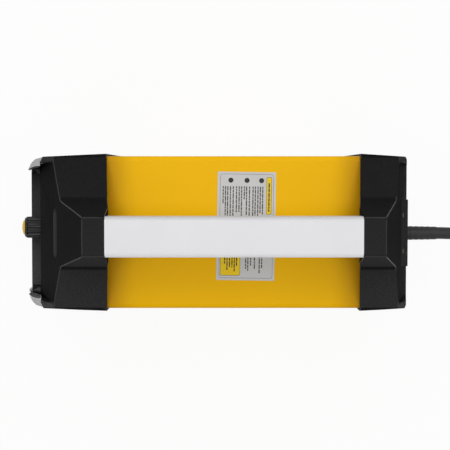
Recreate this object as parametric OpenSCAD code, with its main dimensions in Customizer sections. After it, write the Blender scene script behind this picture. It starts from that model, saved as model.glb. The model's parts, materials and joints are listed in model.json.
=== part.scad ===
// Car battery charger: steel cover between two moulded bezels, with a straight carrying handle on top.
// X runs across, the front faces -Y, Z is up. The origin is the middle of the base, on the floor.

/* [Cover] */
// Width of the steel cover
cover_w = 126; // [116:1:136]
// Height of the cover's top above the floor
cover_top = 172; // [166:1:184]
// Visible length of the cover between the bezels
cover_len = 208.8; // [200:0.2:240]
// Thickness of the cover's sheet
sheet_t = 1.2; // [0.8:0.1:1.5]
// Outer radius of the cover's bends
cover_bend = 4; // [2.5:0.5:6]
// How far each end of the cover is tucked into its bezel
tuck = 12; // [8:1:14]
// Number of louvres in each side of the cover
louvre_count = 9; // [5:1:10]
// Height of a louvre slot
louvre_h = 3; // [2:0.5:4]

/* [Bezels] */
// Wall of the bezel mouldings
wall = 3; // [2.5:0.1:3.5]
// Thickness of the bezel's rim over the cover
rim_t = 1.8; // [1.2:0.1:2.2]
// How much each side of a bezel tapers in towards its end
taper = 2.5; // [1.5:0.1:3.5]
// Thickness of the side lips beside the slopes
lip_t = 4; // [3.5:0.1:4.5]
// Height of the lips above the cover's top
lip_rise = 3; // [2.5:0.1:5]
// Reach of the front bezel from the cover to the brow's edge
brow_reach = 59.6; // [58:0.2:66]
// Drop from the cover's top to the brow's edge
brow_drop = 31; // [28:0.5:33]
// Drop from the cover's top to the shelf under the control panel
shelf_drop = 68; // [66:0.5:71]
// How far the nose stands out below the brow
nose_reach = 13.3; // [12:0.1:14]
// Reach of the rear bezel beyond the cover
rear_reach = 44.6; // [43:0.1:50]
// Width of the moulded slot in the front slope
slot_w = 40; // [30:1:44]
// Height of the moulded slot in the front slope
slot_h = 10; // [7:0.5:11]

/* [Handle] */
// Height of the handle's top above the cover's top
handle_rise = 75; // [72:0.5:85]
// Width of the handle bar
handle_w = 31.5; // [28:0.5:34]
// Height of the handle bar's section
handle_h = 24; // [22:0.5:26]
// Corner radius of the handle bar
handle_r = 4; // [2.5:0.5:5]
// Wall of the handle bar
handle_t = 2.5; // [2:0.1:3]
// How far each bracket leans in over the cover
overhang = 5.2; // [4:0.1:6]
// Depth of a bracket's top face in front of the cover's edge
bracket_depth = 12.2; // [10:0.2:14]
// Height of the bracket's foot crease above the cover's top
crease_rise = 22; // [20:0.5:25]
// Half width of the bracket at its foot crease
crease_half = 27; // [26:0.5:29]

/* [Control panel] */
// Backward lean of the control panel, in degrees
panel_lean = 8; // [6:0.5:9]
// Half width of the control panel's recess
tub_half = 48.5; // [47:0.5:49]
// Thickness of the control panel
panel_t = 3; // [2.5:0.1:3.5]
// Diameter of the control knob
knob_d = 19.7; // [17:0.1:20.5]
// Distance of the knob's tip in front of the brow's edge
knob_proud = 19; // [17:0.5:22]
// Number of flutes round the knob
flute_count = 16; // [12:1:20]
// Diameter of the knob's yellow cap
cap_d = 13.2; // [11:0.2:14.5]
// Height of the cap's dome
cap_h = 3.3; // [2.5:0.1:3.8]
// Diameter of a push button
button_d = 10; // [8:0.5:11]
// Travel of a push button
button_travel = 1.5; // [1:0.1:1.8]

/* [Output sockets] */
// Distance between the two output sockets
socket_pitch = 44; // [42:1:46]
// Diameter of the contact's bore, for a matching plug pin
socket_bore = 13; // [11:0.5:14]
// Depth of the contact's bore
socket_depth = 20; // [16:1:22]
// Diameter of a socket's body
socket_d = 30; // [28:0.5:31]

/* [Fan and rear panel] */
// Side of the fan's square frame
fan_size = 80; // [76:1:82]
// Depth of the fan's frame
fan_depth = 25; // [20:1:28]
// Number of fan blades
blade_count = 7; // [5:1:9]
// Distance of the fan's mounting holes from its edges
fan_inset = 4.25; // [3.5:0.25:6]
// Thickness of the steel rear panel
rear_t = 2; // [1.5:0.1:2.5]

/* [Feet and cord] */
// Diameter of a rubber foot
foot_d = 20; // [16:1:22]
// Height of a rubber foot
foot_h = 6; // [5:0.5:8]
// Diameter of the mains cord
cord_d = 10.4; // [9:0.1:10.4]
// Diameter of the mains plug's body
plug_d = 34; // [30:1:36]

/* [Label] */
// Length of the sticker across the cover
label_w = 89.6; // [70:0.2:92]
// Width of the sticker along the cover
label_l = 48.1; // [40:0.1:55]
// Distance of the sticker's middle from the front edge of the cover
label_y = 114.8; // [60:0.1:150]
// How far the sticker's middle lies to the left
label_off = 5.2; // [0:0.1:8]
// Thickness of the sticker
label_t = 0.25; // [0.15:0.05:0.4]

/* [Hidden] */
$fn = 48;
eps = 0.01;
fit = 0.15;                                   // gap round a piece that is seated in another
hole_fit = 0.1;                               // radial gap of a screw in its hole

// places along the length
front_reach = brow_reach + knob_proud;
total_len = front_reach + cover_len + rear_reach;
y_tip = -total_len / 2;
y_front = y_tip + front_reach;                // front edge of the visible cover
y_rear = y_front + cover_len;                 // rear edge of the visible cover
y_end = total_len / 2;
brow_y = y_front - brow_reach;
nose_y = brow_y - nose_reach;
bracket_front_y = y_front + overhang;         // the face of each bracket that the handle meets
bracket_rear_y = y_rear - overhang;
top_front_y = y_front - bracket_depth;
top_rear_y = y_rear + bracket_depth;

// heights
base_z = foot_h;
tray_z = base_z + wall;
tray_t = 1.5;
lip_z = cover_top + lip_rise;
crease_z = cover_top + crease_rise;
top_z = cover_top + handle_rise;
brow_z = cover_top - brow_drop;
shelf_z = cover_top - shelf_drop;
row_h = 29;                                   // room above the fan for the switch, the cord and the fuse
rear_low = tray_z + 5;
rear_high = rear_low + 1 + fan_size + row_h;
rear_brow_z = rear_high + 6;
finger_z = top_z - handle_h - 8;              // where the bracket's inner face turns upright

// widths
cover_half = cover_w / 2;
mouth_half = cover_half + 0.2;                // inside of the bezel's rim
bezel_half = mouth_half + rim_t;
end_half = bezel_half - taper;
corner_half = end_half - 3.8;
lip_half = end_half - lip_t + 0.2;
nose_half = end_half - 7.5;
nose_corner = nose_half - 2;
nose_tip = nose_half - 5;
bracket_half = handle_w / 2 + 0.3;

slope_front = (top_front_y - brow_y) / (top_z - brow_z);       // run of the front slope for each mm of height
slope_rear = (y_end - top_rear_y) / (top_z - rear_brow_z);
function slope_wall(s) = wall * sqrt(1 + s * s);                 // a slope's wall, measured along Y
function front_slope_y(z) = top_front_y - (top_z - z) * slope_front;
function front_slope_z(y) = top_z - (top_front_y - y) / slope_front;
function rear_slope_y(z) = top_rear_y + (top_z - z) * slope_rear;

// control panel frame: local -Y points out of the panel, local Z runs up its face
panel_low_y = brow_y + 0.5;
panel_top_z = brow_z - wall;
panel_drop = panel_t * sin(panel_lean);       // how much lower the panel's back edge lies
panel_mid_z = (shelf_z + panel_top_z + panel_drop) / 2;
function panel_y(z) = panel_low_y + (z - shelf_z) * tan(panel_lean);
panel_face_h = (panel_top_z - shelf_z - panel_drop) / cos(panel_lean) - 2 * fit;
board_gap = 8;                                // from the panel's back to the control board
board_y = panel_t + board_gap;
board_t = 1.6;
knob_x = -2;
knob_up = -3.8;                               // knob's place above the panel's middle
knob_r = knob_d / 2;
cap_curve = (pow(cap_d / 2, 2) + cap_h * cap_h) / (2 * cap_h);
knob_z = panel_mid_z + knob_up * cos(panel_lean);
knob_len = cap_curve + (panel_y(knob_z) - cap_curve - y_tip) / cos(panel_lean);
skirt_len = knob_len - cap_h;
display_w = 36;
display_h = 17;
display_x = -tub_half + 2.5 + display_w / 2;
button_gap = 17;
button_mid = tub_half - 20;
button_x = [button_mid - button_gap / 2, button_mid + button_gap / 2];
button_up = -4.5;
lamp_up = 9;
lamp_x = [button_mid - button_gap / 2, button_mid, button_mid + button_gap / 2];
post_x = tub_half - 4.5;
post_up = 12;
board_half = tub_half - 2.5;

// socket panel
socket_plate_y = nose_y + 10.3;
socket_plate_t = 3;
socket_z = (tray_z + shelf_z) / 2 + 3;
collar_half = nose_half - 11;
collar_low = tray_z + 17;
collar_high = shelf_z - 12;
socket_x = socket_pitch / 2;
contact_r = socket_bore / 2 + 2;
contact_y = nose_y + 1.2;                     // mouth of the contact
contact_back = contact_y + socket_depth + 4;

// rear panel
rear_wall_y = y_end - 6;                      // outside of the recessed rear wall
rear_plate_y = rear_wall_y - wall;
rear_open_half = fan_size / 2 + 9;
rear_plate_half = rear_open_half + 7;
fan_z = rear_low + 1 + fan_size / 2;
fan_pitch = fan_size - 2 * fan_inset;
fan_y = rear_plate_y - rear_t;
row_z = (fan_z + fan_size / 2 + rear_high) / 2;
switch_x = -33;
fuse_x = 34;
gland_x = 3.5;
gland_z = row_z;
rocker_w = 12;
rocker_h = 20;

// power board
board_z = tray_z + tray_t + 9;
power_half = cover_half - 13;
board_front = y_front + 7;
board_rear = y_rear - 16;
parts_z = board_z + board_t;
sink_half = 15;
sink_h = 62;
sink_x = power_half - 17;
sink_edge = sink_x - sink_half;               // inner side of each heatsink
chip_t = 5;
chip_w = 16;
chip_h = 26;
chip_pitch = 28;
can_r = 11;
can_h = 42;
can_pitch = 26;
sink_front = board_front + 22;
sink_len = 118;

foot_x = cover_half - 17;
foot_front_y = brow_y + 26;
foot_rear_y = rear_wall_y - 16;
foot_places = [[-foot_x, foot_front_y], [foot_x, foot_front_y], [-foot_x, foot_rear_y], [foot_x, foot_rear_y]];

// mains cord: points chosen by hand, from the gland to the coil
cord_r = cord_d / 2;
route = [
    [3.5, 158, 109.5], [3.5, 172, 109.5], [3.5, 186, 109.5], [3.5, 197, 109.5], [3.9, 208.1, 108.1],
    [5, 218.6, 104.1], [6.6, 227.7, 97.7], [8.8, 235.1, 89.3], [11.3, 240.2, 79.3], [14, 242.8, 68.4],
    [16.8, 244.8, 57.4], [19.5, 246.7, 46.4], [22.2, 249.4, 35.5], [24.7, 254.5, 25.5], [26.9, 261.8, 17.1],
    [28.5, 271, 10.7], [29.6, 281.5, 6.7], [30, 292.6, 5.3]
];
coil_low = 0.1;
coil_pitch = 10.5;
coil_mid_r = 62;                              // two turns side by side and two layers
coil_x = -37.2;
coil_y = 320;
coil_h = 2 * coil_pitch;
plug_x = coil_x - 8.5;
plug_y = coil_y + 58;
plug_z = coil_low + coil_h + plug_d / 2 + 0.1;
plug_len = 36;
pin_r = 2.4;
pin_len = 19;
pin_pitch = 19;

// ---- shared shapes ----

// a rectangle with true round corners
module soft_rect(w, h, r) {
    square([w, h - 2 * r], center = true);
    square([w - 2 * r, h], center = true);
    for (x = [-1, 1], y = [-1, 1])
        translate([x * (w / 2 - r), y * (h / 2 - r)])
            circle(r);
}

// an outline in the Y-Z plane, carried across X from x0 to x1
module across(x0, x1) {
    translate([x0, 0, 0])
        rotate([90, 0, 90])
            linear_extrude(x1 - x0)
                children();
}

// an outline in the X-Z plane, carried along Y from y0 to y1
module along(y0, y1) {
    translate([0, y1, 0])
        rotate([90, 0, 0])
            linear_extrude(y1 - y0)
                children();
}

// an outline in the X-Y plane, carried up from z0 to z1
module upward(z0, z1) {
    translate([0, 0, z0])
        linear_extrude(z1 - z0)
            children();
}

// a box that is symmetric about X = 0
module mid_box(half, y0, y1, z0, z1) {
    translate([-half, y0, z0])
        cube([2 * half, y1 - y0, z1 - z0]);
}

// a round bar along Y
module bar_y(r, y0, y1) {
    translate([0, y0, 0])
        rotate([-90, 0, 0])
            cylinder(h = y1 - y0, r = r);
}

// a ring along Y
module ring_y(r_out, r_in, y0, y1) {
    difference() {
        bar_y(r_out, y0, y1);
        bar_y(r_in, y0 - eps, y1 + eps);
    }
}

module on_panel() {
    translate([0, panel_y(panel_mid_z), panel_mid_z])
        rotate([-panel_lean, 0, 0])
            children();
}

// a pan-head screw along Y with its head's seat at y = 0 and the head towards -Y
module screw_y(r, head_r, head_h, length) {
    bar_y(head_r, -head_h, 0);
    bar_y(r, -eps, length);
}

// ---- cover and base ----

module cover_outline(inset) {
    r = cover_bend - inset;
    half = cover_half - inset;
    top = cover_top - inset;
    translate([-half, tray_z - 1])
        square([2 * half, top - r - tray_z + 1]);
    translate([-half + r, tray_z])
        square([2 * (half - r), top - tray_z]);
    for (x = [-1, 1])
        translate([x * (half - r), top - r])
            circle(r);
}

screw_rows = [0.2, 0.5, 0.8];                 // shares of the cover's length
cover_screw_z = tray_z + 9;

module cover_screw_places() {
    for (s = [-1, 1], t = screw_rows)
        translate([s * cover_half, y_front + t * cover_len, cover_screw_z])
            rotate([0, 0, s * 90])
                children();
}

louvre_pitch = 8;
louvre_l = 34;

module louvres() {
    for (i = [0 : louvre_count - 1], y = [y_front + 30, y_rear - 30 - louvre_l])
        translate([-cover_half - 1, y, cover_top - 50 - i * louvre_pitch])
            cube([cover_w + 2, louvre_l, louvre_h]);
}

module case_cover() {
    color("gold")
        difference() {
            along(y_front - tuck + 0.5, y_rear + tuck - 0.5)
                difference() {
                    cover_outline(0);
                    cover_outline(sheet_t);
                    translate([-cover_half + sheet_t, 0])
                        square([cover_w - 2 * sheet_t, tray_z + 1]);
                }
            louvres();
            cover_screw_places()
                bar_y(2 + hole_fit, -5, 5);
        }
}

module cover_screws() {
    color("silver")
        cover_screw_places()
            screw_y(2, 3.8, 1.8, 8);
}

module base_tray() {
    half = cover_half - sheet_t - 0.1;
    flange_h = 16;
    color("dimgray")
        difference() {
            union() {
                mid_box(end_half - wall - 3, brow_y + wall + 4, rear_plate_y - rear_t - 1, tray_z, tray_z + tray_t);
                mid_box(half, y_front - tuck + 1, y_rear + tuck - 1, tray_z, tray_z + tray_t);
                for (s = [-1, 1])
                    translate([s * (half - tray_t / 2), (y_front + y_rear) / 2, tray_z + flange_h / 2])
                        cube([tray_t, cover_len - 6, flange_h], center = true);
            }
            cover_screw_places()
                bar_y(2 + hole_fit, -5, 5);
            for (p = foot_places)
                translate([p[0], p[1], 0])
                    cylinder(h = 40, r = 2 + hole_fit);
        }
}

// ---- bezels ----

// half outline of a bezel seen from the front, mirrored about X = 0
function bezel_half_outline(t) = [
    [bezel_half - t, base_z + t],
    [bezel_half - t, lip_z - 3.5 - t / 3],
    [bezel_half - 1 - t, lip_z - 1 - t],
    [bezel_half - 3.5 - t, lip_z - t],
    [crease_half + 3 - t * 0.6, crease_z - 1.6 - t],
    [crease_half - t * 0.8, crease_z + 0.6 - t * 0.6],
    [crease_half - 1.2 - t, crease_z + 5 - t * 0.3],
    [bracket_half - t, top_z - 3.2 - t / 3],
    [bracket_half - 0.9 - t, top_z - 0.9 - t],
    [bracket_half - 3 - t, top_z - t]
];

function mirrored(points) = concat(points, [for (i = [len(points) - 1 : -1 : 0]) [-points[i][0], points[i][1]]]);

module bezel_outline(t = 0) {
    polygon(mirrored(bezel_half_outline(t)));
}

// the bezel's outline from above: end = y of the end face, edge = y of the cover's edge, s = direction of the end
module bezel_plan(edge, end, s, t = 0) {
    polygon(mirrored([
        [bezel_half - t, edge - s * 20],
        [bezel_half - t, edge],
        [end_half - t, end - s * 7.2],
        [corner_half - t, end - s * (5 + t / 4)],
        [corner_half - t, end - s * t]
    ]));
}

module front_side() {
    polygon([
        [y_front, base_z], [y_front, lip_z], [bracket_front_y, finger_z], [bracket_front_y, top_z],
        [top_front_y, top_z], [brow_y, brow_z], [brow_y, base_z]
    ]);
}

// inside of the front bezel, in the Y-Z plane: below the cover's top it is open towards the cover
module front_hollow() {
    t = slope_wall(slope_front);
    mouth_top = cover_top + 0.2;
    intersection() {
        across(-bezel_half, bezel_half)
            polygon([
                [y_front + 1, tray_z], [y_front + 1, mouth_top], [front_slope_y(mouth_top) + t, mouth_top],
                [brow_y + t, brow_z], [brow_y + wall, brow_z - wall], [brow_y + wall, tray_z]
            ]);
        upward(tray_z, mouth_top)
            bezel_plan(y_front, brow_y, -1, wall);
    }
    mid_box(mouth_half, y_front - tuck, y_front + 1, tray_z - 1.2, mouth_top);
    intersection() {
        across(-bezel_half, bezel_half)
            polygon([
                [y_front - wall, cover_top - 1], [bracket_front_y - wall, finger_z], [bracket_front_y - wall, top_z],
                [top_front_y + t - wall / 2, top_z], [front_slope_y(cover_top - 1) + t, cover_top - 1]
            ]);
        along(brow_y, y_front + 20)
            bezel_outline(wall);
    }
}

// what the lips leave free between them: it narrows towards the end, s = direction of the end
module lip_gap(start, end, s) {
    upward(0, top_z)
        polygon(mirrored([[lip_half, start], [lip_half, end - s * 14], [lip_half - 3.6, end + s]]));
}

core_w = handle_w - 2 * handle_t - 4;
core_h = 8;
core_z = top_z - handle_h + handle_t;         // underside of the handle's core bar
core_tuck = 18;                               // how far the core reaches into a bracket

// the seat for the handle's core bar, inside a bracket; s points into the bracket
module core_seat(face, s) {
    y0 = min(face + s * (wall - eps), face + s * (core_tuck + 2));
    y1 = max(face + s * (wall - eps), face + s * (core_tuck + 2));
    difference() {
        mid_box(core_w / 2 + 1.5, y0, y1, core_z - 7, core_z);
        translate([0, face + s * (core_tuck - 7), core_z - 20])
            cylinder(h = 30, r = 2.5 + hole_fit);
    }
}

module core_hole(face) {
    mid_box(core_w / 2 + fit, face - wall - 1, face + wall + 1, core_z, core_z + core_h + fit);
}

// nose below the brow: carries the shelf, the control panel's recess and the socket recess
module nose_plan(t = 0) {
    polygon(mirrored([
        [nose_half - t, brow_y + wall + 1],
        [nose_half - t, brow_y],
        [nose_corner - t, nose_y + 3.6 + t * 0.7],
        [nose_tip - t, nose_y + t]
    ]));
}

module nose_side(t = 0) {
    polygon([
        [brow_y + wall + 1, base_z + t], [nose_y + 9, base_z + t], [nose_y + t, base_z + 14],
        [nose_y + t, shelf_z - t], [nose_y + 5.8, t > 0 ? shelf_z - t : brow_z - 2],
        [brow_y - 0.5, t > 0 ? shelf_z - t : brow_z], [brow_y + wall + 1, t > 0 ? shelf_z - t : brow_z]
    ]);
}

module nose() {
    difference() {
        intersection() {
            upward(base_z, brow_z)
                nose_plan();
            across(-end_half, end_half)
                nose_side();
        }
        intersection() {
            upward(base_z, brow_z)
                nose_plan(wall);
            across(-end_half, end_half)
                nose_side(wall);
        }
        mid_box(tub_half, nose_y - 1, brow_y + wall + 2, shelf_z, brow_z + 1);
    }
}

module socket_collar() {
    difference() {
        mid_box(collar_half + wall, nose_y + wall - eps, socket_plate_y + socket_plate_t, collar_low - wall, collar_high + wall);
        mid_box(collar_half, nose_y, brow_y + 10, collar_low, collar_high);
    }
}

slot_z = front_slope_z(y_front - 44.2);
slot_pad_t = 7;

// thicker wall behind the moulded slot
module slot_pad() {
    low = slot_z - wall;
    high = slot_z + slot_h + wall;
    across(-slot_w / 2 - wall, slot_w / 2 + wall)
        polygon([
            [front_slope_y(low) + 1, low], [front_slope_y(high) + 1, high],
            [front_slope_y(high) + slot_pad_t, high], [front_slope_y(low) + slot_pad_t, low]
        ]);
}

// frame behind the front wall that the control panel is seated in
module panel_frame() {
    difference() {
        mid_box(tub_half + wall, brow_y + wall - eps, brow_y + 12, shelf_z - wall, brow_z);
        mid_box(tub_half, brow_y, brow_y + 13, shelf_z, panel_top_z);
    }
}

module front_bezel() {
    color("#222326")
        difference() {
            union() {
                difference() {
                    union() {
                        intersection() {
                            across(-bezel_half, bezel_half)
                                front_side();
                            along(brow_y - 1, y_front + 20)
                                bezel_outline();
                            upward(base_z, top_z)
                                bezel_plan(y_front, brow_y, -1);
                        }
                        difference() {
                            intersection() {
                                across(-bezel_half, bezel_half)
                                    polygon([
                                        [y_front, base_z], [y_front, lip_z], [brow_y + 7, lip_z],
                                        [brow_y + 4.5, lip_z - 4], [brow_y, brow_z], [brow_y, base_z]
                                    ]);
                                along(brow_y - 1, y_front + 20)
                                    bezel_outline();
                                upward(base_z, lip_z)
                                    bezel_plan(y_front, brow_y, -1);
                            }
                            lip_gap(y_front + 1, brow_y, -1);
                        }
                    }
                    front_hollow();
                    mid_box(nose_half - wall, brow_y - 1, brow_y + wall + 1, tray_z, shelf_z - wall);
                    mid_box(tub_half, brow_y - 1, brow_y + 8, shelf_z, panel_top_z);
                }
                nose();
                socket_collar();
                core_seat(bracket_front_y, -1);
                panel_frame();
                slot_pad();
            }
            core_hole(bracket_front_y);
            // moulded slot in the slope
            translate([0, 0, slot_z])
                along(front_slope_y(slot_z) - 6, front_slope_y(slot_z + slot_h) + 0.2)
                    translate([0, slot_h / 2])
                        soft_rect(slot_w, slot_h, slot_h / 2 - 0.3);
            mid_box(collar_half, nose_y - 1, nose_y + wall + 1, collar_low, collar_high);
            for (p = foot_places)
                translate([p[0], p[1], 0])
                    cylinder(h = tray_z + 1, r = 2 + hole_fit);
            for (i = [0, 1])
                guard_screw_places(i)
                    bar_y(1.6 + hole_fit, -3, guard_screw_len[i] + 0.2);
        }
}

// rear bezel
bump_half = 28;
bump_low_z = rear_brow_z + 21;
bump_top_z = bump_low_z + 14;
bump_edge_y = y_end - 1.9;                     // the bump's lower edge stays inside the end
bump_x = 1.3;
bump_angle = atan2(bump_top_z - bump_low_z, bump_edge_y - rear_slope_y(bump_top_z));

module rear_side() {
    polygon([
        [y_rear, base_z], [y_rear, lip_z], [bracket_rear_y, finger_z], [bracket_rear_y, top_z],
        [top_rear_y, top_z], [y_end, rear_brow_z], [y_end, rear_brow_z - 5],
        [rear_wall_y, rear_high - 3], [rear_wall_y, base_z]
    ]);
}

module rear_hollow() {
    t = slope_wall(slope_rear);
    mouth_top = cover_top + 0.2;
    intersection() {
        across(-bezel_half, bezel_half)
            polygon([
                [y_rear - 1, tray_z], [y_rear - 1, mouth_top], [rear_slope_y(mouth_top) - t, mouth_top],
                [rear_slope_y(rear_brow_z) - t - 2, rear_brow_z], [rear_plate_y, rear_brow_z - 6], [rear_plate_y, tray_z]
            ]);
        upward(tray_z, mouth_top)
            bezel_plan(y_rear, y_end, 1, wall);
    }
    mid_box(mouth_half, y_rear - 1, y_rear + tuck, tray_z - 1.2, mouth_top);
    intersection() {
        across(-bezel_half, bezel_half)
            polygon([
                [y_rear + wall, cover_top - 1], [bracket_rear_y + wall, finger_z], [bracket_rear_y + wall, top_z],
                [top_rear_y - t + wall / 2, top_z], [rear_slope_y(cover_top - 1) - t, cover_top - 1]
            ]);
        along(y_rear - 20, y_end)
            bezel_outline(wall);
    }
}

module bump_frame() {
    translate([bump_x, (rear_slope_y(bump_top_z) + bump_edge_y) / 2, (bump_top_z + bump_low_z) / 2])
        rotate([-bump_angle, 0, 0])
            children();
}

module rear_bezel() {
    color("#222326")
        difference() {
            union() {
                difference() {
                    union() {
                        intersection() {
                            across(-bezel_half, bezel_half)
                                rear_side();
                            along(y_rear - 20, y_end + 1)
                                bezel_outline();
                            upward(base_z, top_z)
                                bezel_plan(y_rear, y_end, 1);
                        }
                        difference() {
                            intersection() {
                                across(-bezel_half, bezel_half)
                                    polygon([
                                        [y_rear, base_z], [y_rear, lip_z], [y_end - 8.5, lip_z],
                                        [y_end - 6, lip_z - 4], [y_end, rear_brow_z], [y_end, rear_brow_z - 5],
                                        [rear_wall_y, rear_high - 3], [rear_wall_y, base_z]
                                    ]);
                                along(y_rear - 20, y_end + 1)
                                    bezel_outline();
                                upward(base_z, lip_z)
                                    bezel_plan(y_rear, y_end, 1);
                            }
                            lip_gap(y_rear - 1, y_end, 1);
                        }
                    }
                    rear_hollow();
                    mid_box(rear_open_half, rear_plate_y - 1, y_end + 1, rear_low, rear_high);
                }
                // raised block on the slope, backed by a solid boss inside
                across(bump_x - bump_half, bump_x + bump_half)
                    polygon([
                        [rear_slope_y(bump_top_z) - 8, bump_top_z], [rear_slope_y(bump_top_z), bump_top_z],
                        [bump_edge_y, bump_low_z], [bump_edge_y, rear_brow_z + 3],
                        [rear_slope_y(rear_brow_z + 3) - 4, rear_brow_z + 3], [rear_slope_y(bump_low_z) - 12, bump_low_z - 6]
                    ]);
                core_seat(bracket_rear_y, 1);
            }
            core_hole(bracket_rear_y);
            bump_frame()
                for (s = [-1, 1])
                    translate([s * bump_screw_x, 0, 0]) {
                        translate([0, 0, -bump_sink])
                            cylinder(h = 10, r = 3.7);
                        translate([0, 0, -bump_sink - 9])
                            cylinder(h = 12, r = 1.75 + hole_fit);
                    }
            for (p = foot_places)
                translate([p[0], p[1], 0])
                    cylinder(h = tray_z + 1, r = 2 + hole_fit);
            rear_screw_places()
                bar_y(1.6 + hole_fit, -20, 5);
        }
}

bump_screw_x = 15;
bump_sink = 3;

module rear_top_screws() {
    color("#c9c2a0")
        bump_frame()
            for (s = [-1, 1])
                translate([s * bump_screw_x, 0, -bump_sink]) {
                    difference() {
                        cylinder(h = 2, r = 3.4);
                        for (a = [0, 90])
                            rotate([0, 0, a])
                                translate([0, 0, 2])
                                    cube([3.6, 0.9, 2.4], center = true);
                    }
                    translate([0, 0, -8.5])
                        cylinder(h = 8.5 + eps, r = 1.75);
                }
}

// ---- handle ----

module handle_bar() {
    color("#e6e6e6")
        translate([0, 0, top_z - handle_h / 2])
            along(bracket_front_y, bracket_rear_y)
                difference() {
                    soft_rect(handle_w, handle_h, handle_r);
                    soft_rect(handle_w - 2 * handle_t, handle_h - 2 * handle_t, max(handle_r - handle_t, 0.5));
                }
}

module handle_core() {
    color("silver")
        difference() {
            mid_box(core_w / 2, bracket_front_y - core_tuck, bracket_rear_y + core_tuck, core_z, core_z + core_h);
            for (y = [bracket_front_y - core_tuck + 7, bracket_rear_y + core_tuck - 7])
                translate([0, y, core_z - 1])
                    cylinder(h = core_h + 2, r = 2.5 + hole_fit / 2);
        }
}

module handle_bolts() {
    color("darkgray")
        for (y = [bracket_front_y - core_tuck + 7, bracket_rear_y + core_tuck - 7])
            translate([0, y, 0]) {
                translate([0, 0, core_z - 7 - 3])
                    cylinder(h = 3, r = 4.2);
                translate([0, 0, core_z - 7 - eps])
                    cylinder(h = 7 + core_h - 0.5, r = 2.5);
            }
}

// ---- guards ----

// the guard's bow: height, how far it stands forward, how far its tip is drawn outwards, 1 at its feet,
// 1 where it is broad above the nose's cheeks
guard_bow = [
    [base_z + 6, 0, 2.4, 1, 0], [base_z + 16, 0, 2.4, 1, 0], [base_z + 24, 1.5, 2.4, 1, 0],
    [base_z + 31, 3.4, 2.4, 0, 0], [base_z + 44, 6, 1.2, 0, 0], [base_z + 56, 7.3, 0, 0, 0],
    [shelf_z, 7.3, 0, 0, 0], [shelf_z + 14, 6.2, 0, 0, 0], [brow_z - 11, 4.6, 0, 0, 0],
    [brow_z - 3, 3.2, 0, 0, 0], [brow_z + 1.5, 2.1, 0, 0, 1], [brow_z + 4, 1.5, 0, 1, 1],
    [brow_z + 10, 0, 0, 1, 1], [lip_z - 5, 0, 0, 1, 1]
];
guard_fill = 3;                               // how much broader the blade is there

// one level of the bow in plan: a blade whose back fills the bezel's corner at the feet
function guard_level(z, out, tip, foot, broad) = [
    [end_half - 0.3 - 0.2 * out * (1 - foot), brow_y + (foot == 1 ? 6.2 : 0.6 - out), z],
    [end_half - 0.9 - 0.2 * out, brow_y - 1 - out, z],
    [end_half - 4.6 - 0.5 * out, brow_y - 5.8 - 0.95 * out, z],
    [nose_corner - 1 + tip, brow_y - 7.3 - out, z],
    [nose_corner - 0.8 + tip, brow_y - 6.5 - out, z],
    [nose_half + 1 - 0.4 * out - (guard_fill - 0.6) * broad, brow_y - 3.6 - out, z],
    [corner_half - 1.1 - 0.2 * out - guard_fill * broad, brow_y - 0.6 - out * (1 - broad), z],
    [corner_half - 0.2 + (fit + 0.2) * foot, brow_y + (foot == 1 ? -fit : -out), z],
    [corner_half + fit, brow_y + (foot == 1 ? 4.6 : 0.6 - out), z]
];

module guard_blade() {
    levels = [for (b = guard_bow) guard_level(b[0], b[1], b[2], b[3], b[4])];
    n = len(levels[0]);
    m = len(levels);
    polyhedron(
        [for (level = levels, p = level) p],
        concat(
            [[for (i = [n - 1 : -1 : 0]) i]],
            [for (k = [0 : m - 2], i = [0 : n - 1])
                for (t = [[k * n + i, k * n + (i + 1) % n, k * n + n + i],
                          [k * n + (i + 1) % n, k * n + n + (i + 1) % n, k * n + n + i]]) t],
            [[for (i = [0 : n - 1]) (m - 1) * n + i]]
        )
    );
}

// the slanted ends of a guard from the side
module guard_side() {
    polygon([
        [brow_y + 7, base_z + 6], [brow_y - 4, base_z + 8], [nose_y - 4, base_z + 22],
        [nose_y - 4, lip_z - 30], [brow_y - 4, lip_z - 9], [brow_y + 7, lip_z - 5.5]
    ]);
}

guard_screw_z = [base_z + 16, brow_z + 7];
guard_seat_x = end_half - 2.1;                // where the heads of the guard's screws sit

// the upper screws end inside the lip
guard_screw_len = [8, 3.2];

module guard_screw_places(i) {
    for (s = [-1, 1], z = guard_screw_z[i])
        translate([s * guard_seat_x, brow_y + 3.4, z])
            rotate([0, 0, s * 90])
                children();
}

module guard(s) {
    color("silver")
        difference() {
            intersection() {
                mirror([s < 0 ? 1 : 0, 0, 0])
                    guard_blade();
                across(-bezel_half, bezel_half)
                    guard_side();
            }
            for (i = [0, 1])
                guard_screw_places(i) {
                    bar_y(1.6 + hole_fit, -3, 12);
                    bar_y(2.8, -6, 0);
                }
        }
}

module guard_left() {
    guard(-1);
}

module guard_right() {
    guard(1);
}

module guard_screws() {
    color("darkgray")
        for (i = [0, 1])
            guard_screw_places(i)
                screw_y(1.6, 2.7, 1.6, guard_screw_len[i]);
}

// ---- label ----

module label_sticker() {
    color("lightgray")
        translate([-label_off, y_front + label_y, cover_top])
            rotate([0, 0, -0.95])
                translate([-label_w / 2, -label_l / 2, 0])
                    cube([label_w, label_l, label_t]);
}

// ---- control panel ----

module control_panel() {
    color("#2b2c2f")
        on_panel()
            difference() {
                translate([-tub_half + fit, 0, -panel_face_h / 2])
                    cube([2 * (tub_half - fit), panel_t, panel_face_h]);
                translate([display_x - display_w / 2, -1, -display_h / 2])
                    cube([display_w, panel_t + 2, display_h]);
                translate([knob_x, 0, knob_up])
                    bar_y(3.6, -1, panel_t + 1);
                for (x = button_x)
                    translate([x, 0, button_up])
                        bar_y(button_d / 2 + hole_fit, -1, panel_t + 1);
                for (x = lamp_x)
                    translate([x, 0, lamp_up])
                        bar_y(1.6, -1, panel_t + 1);
            }
}

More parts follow.
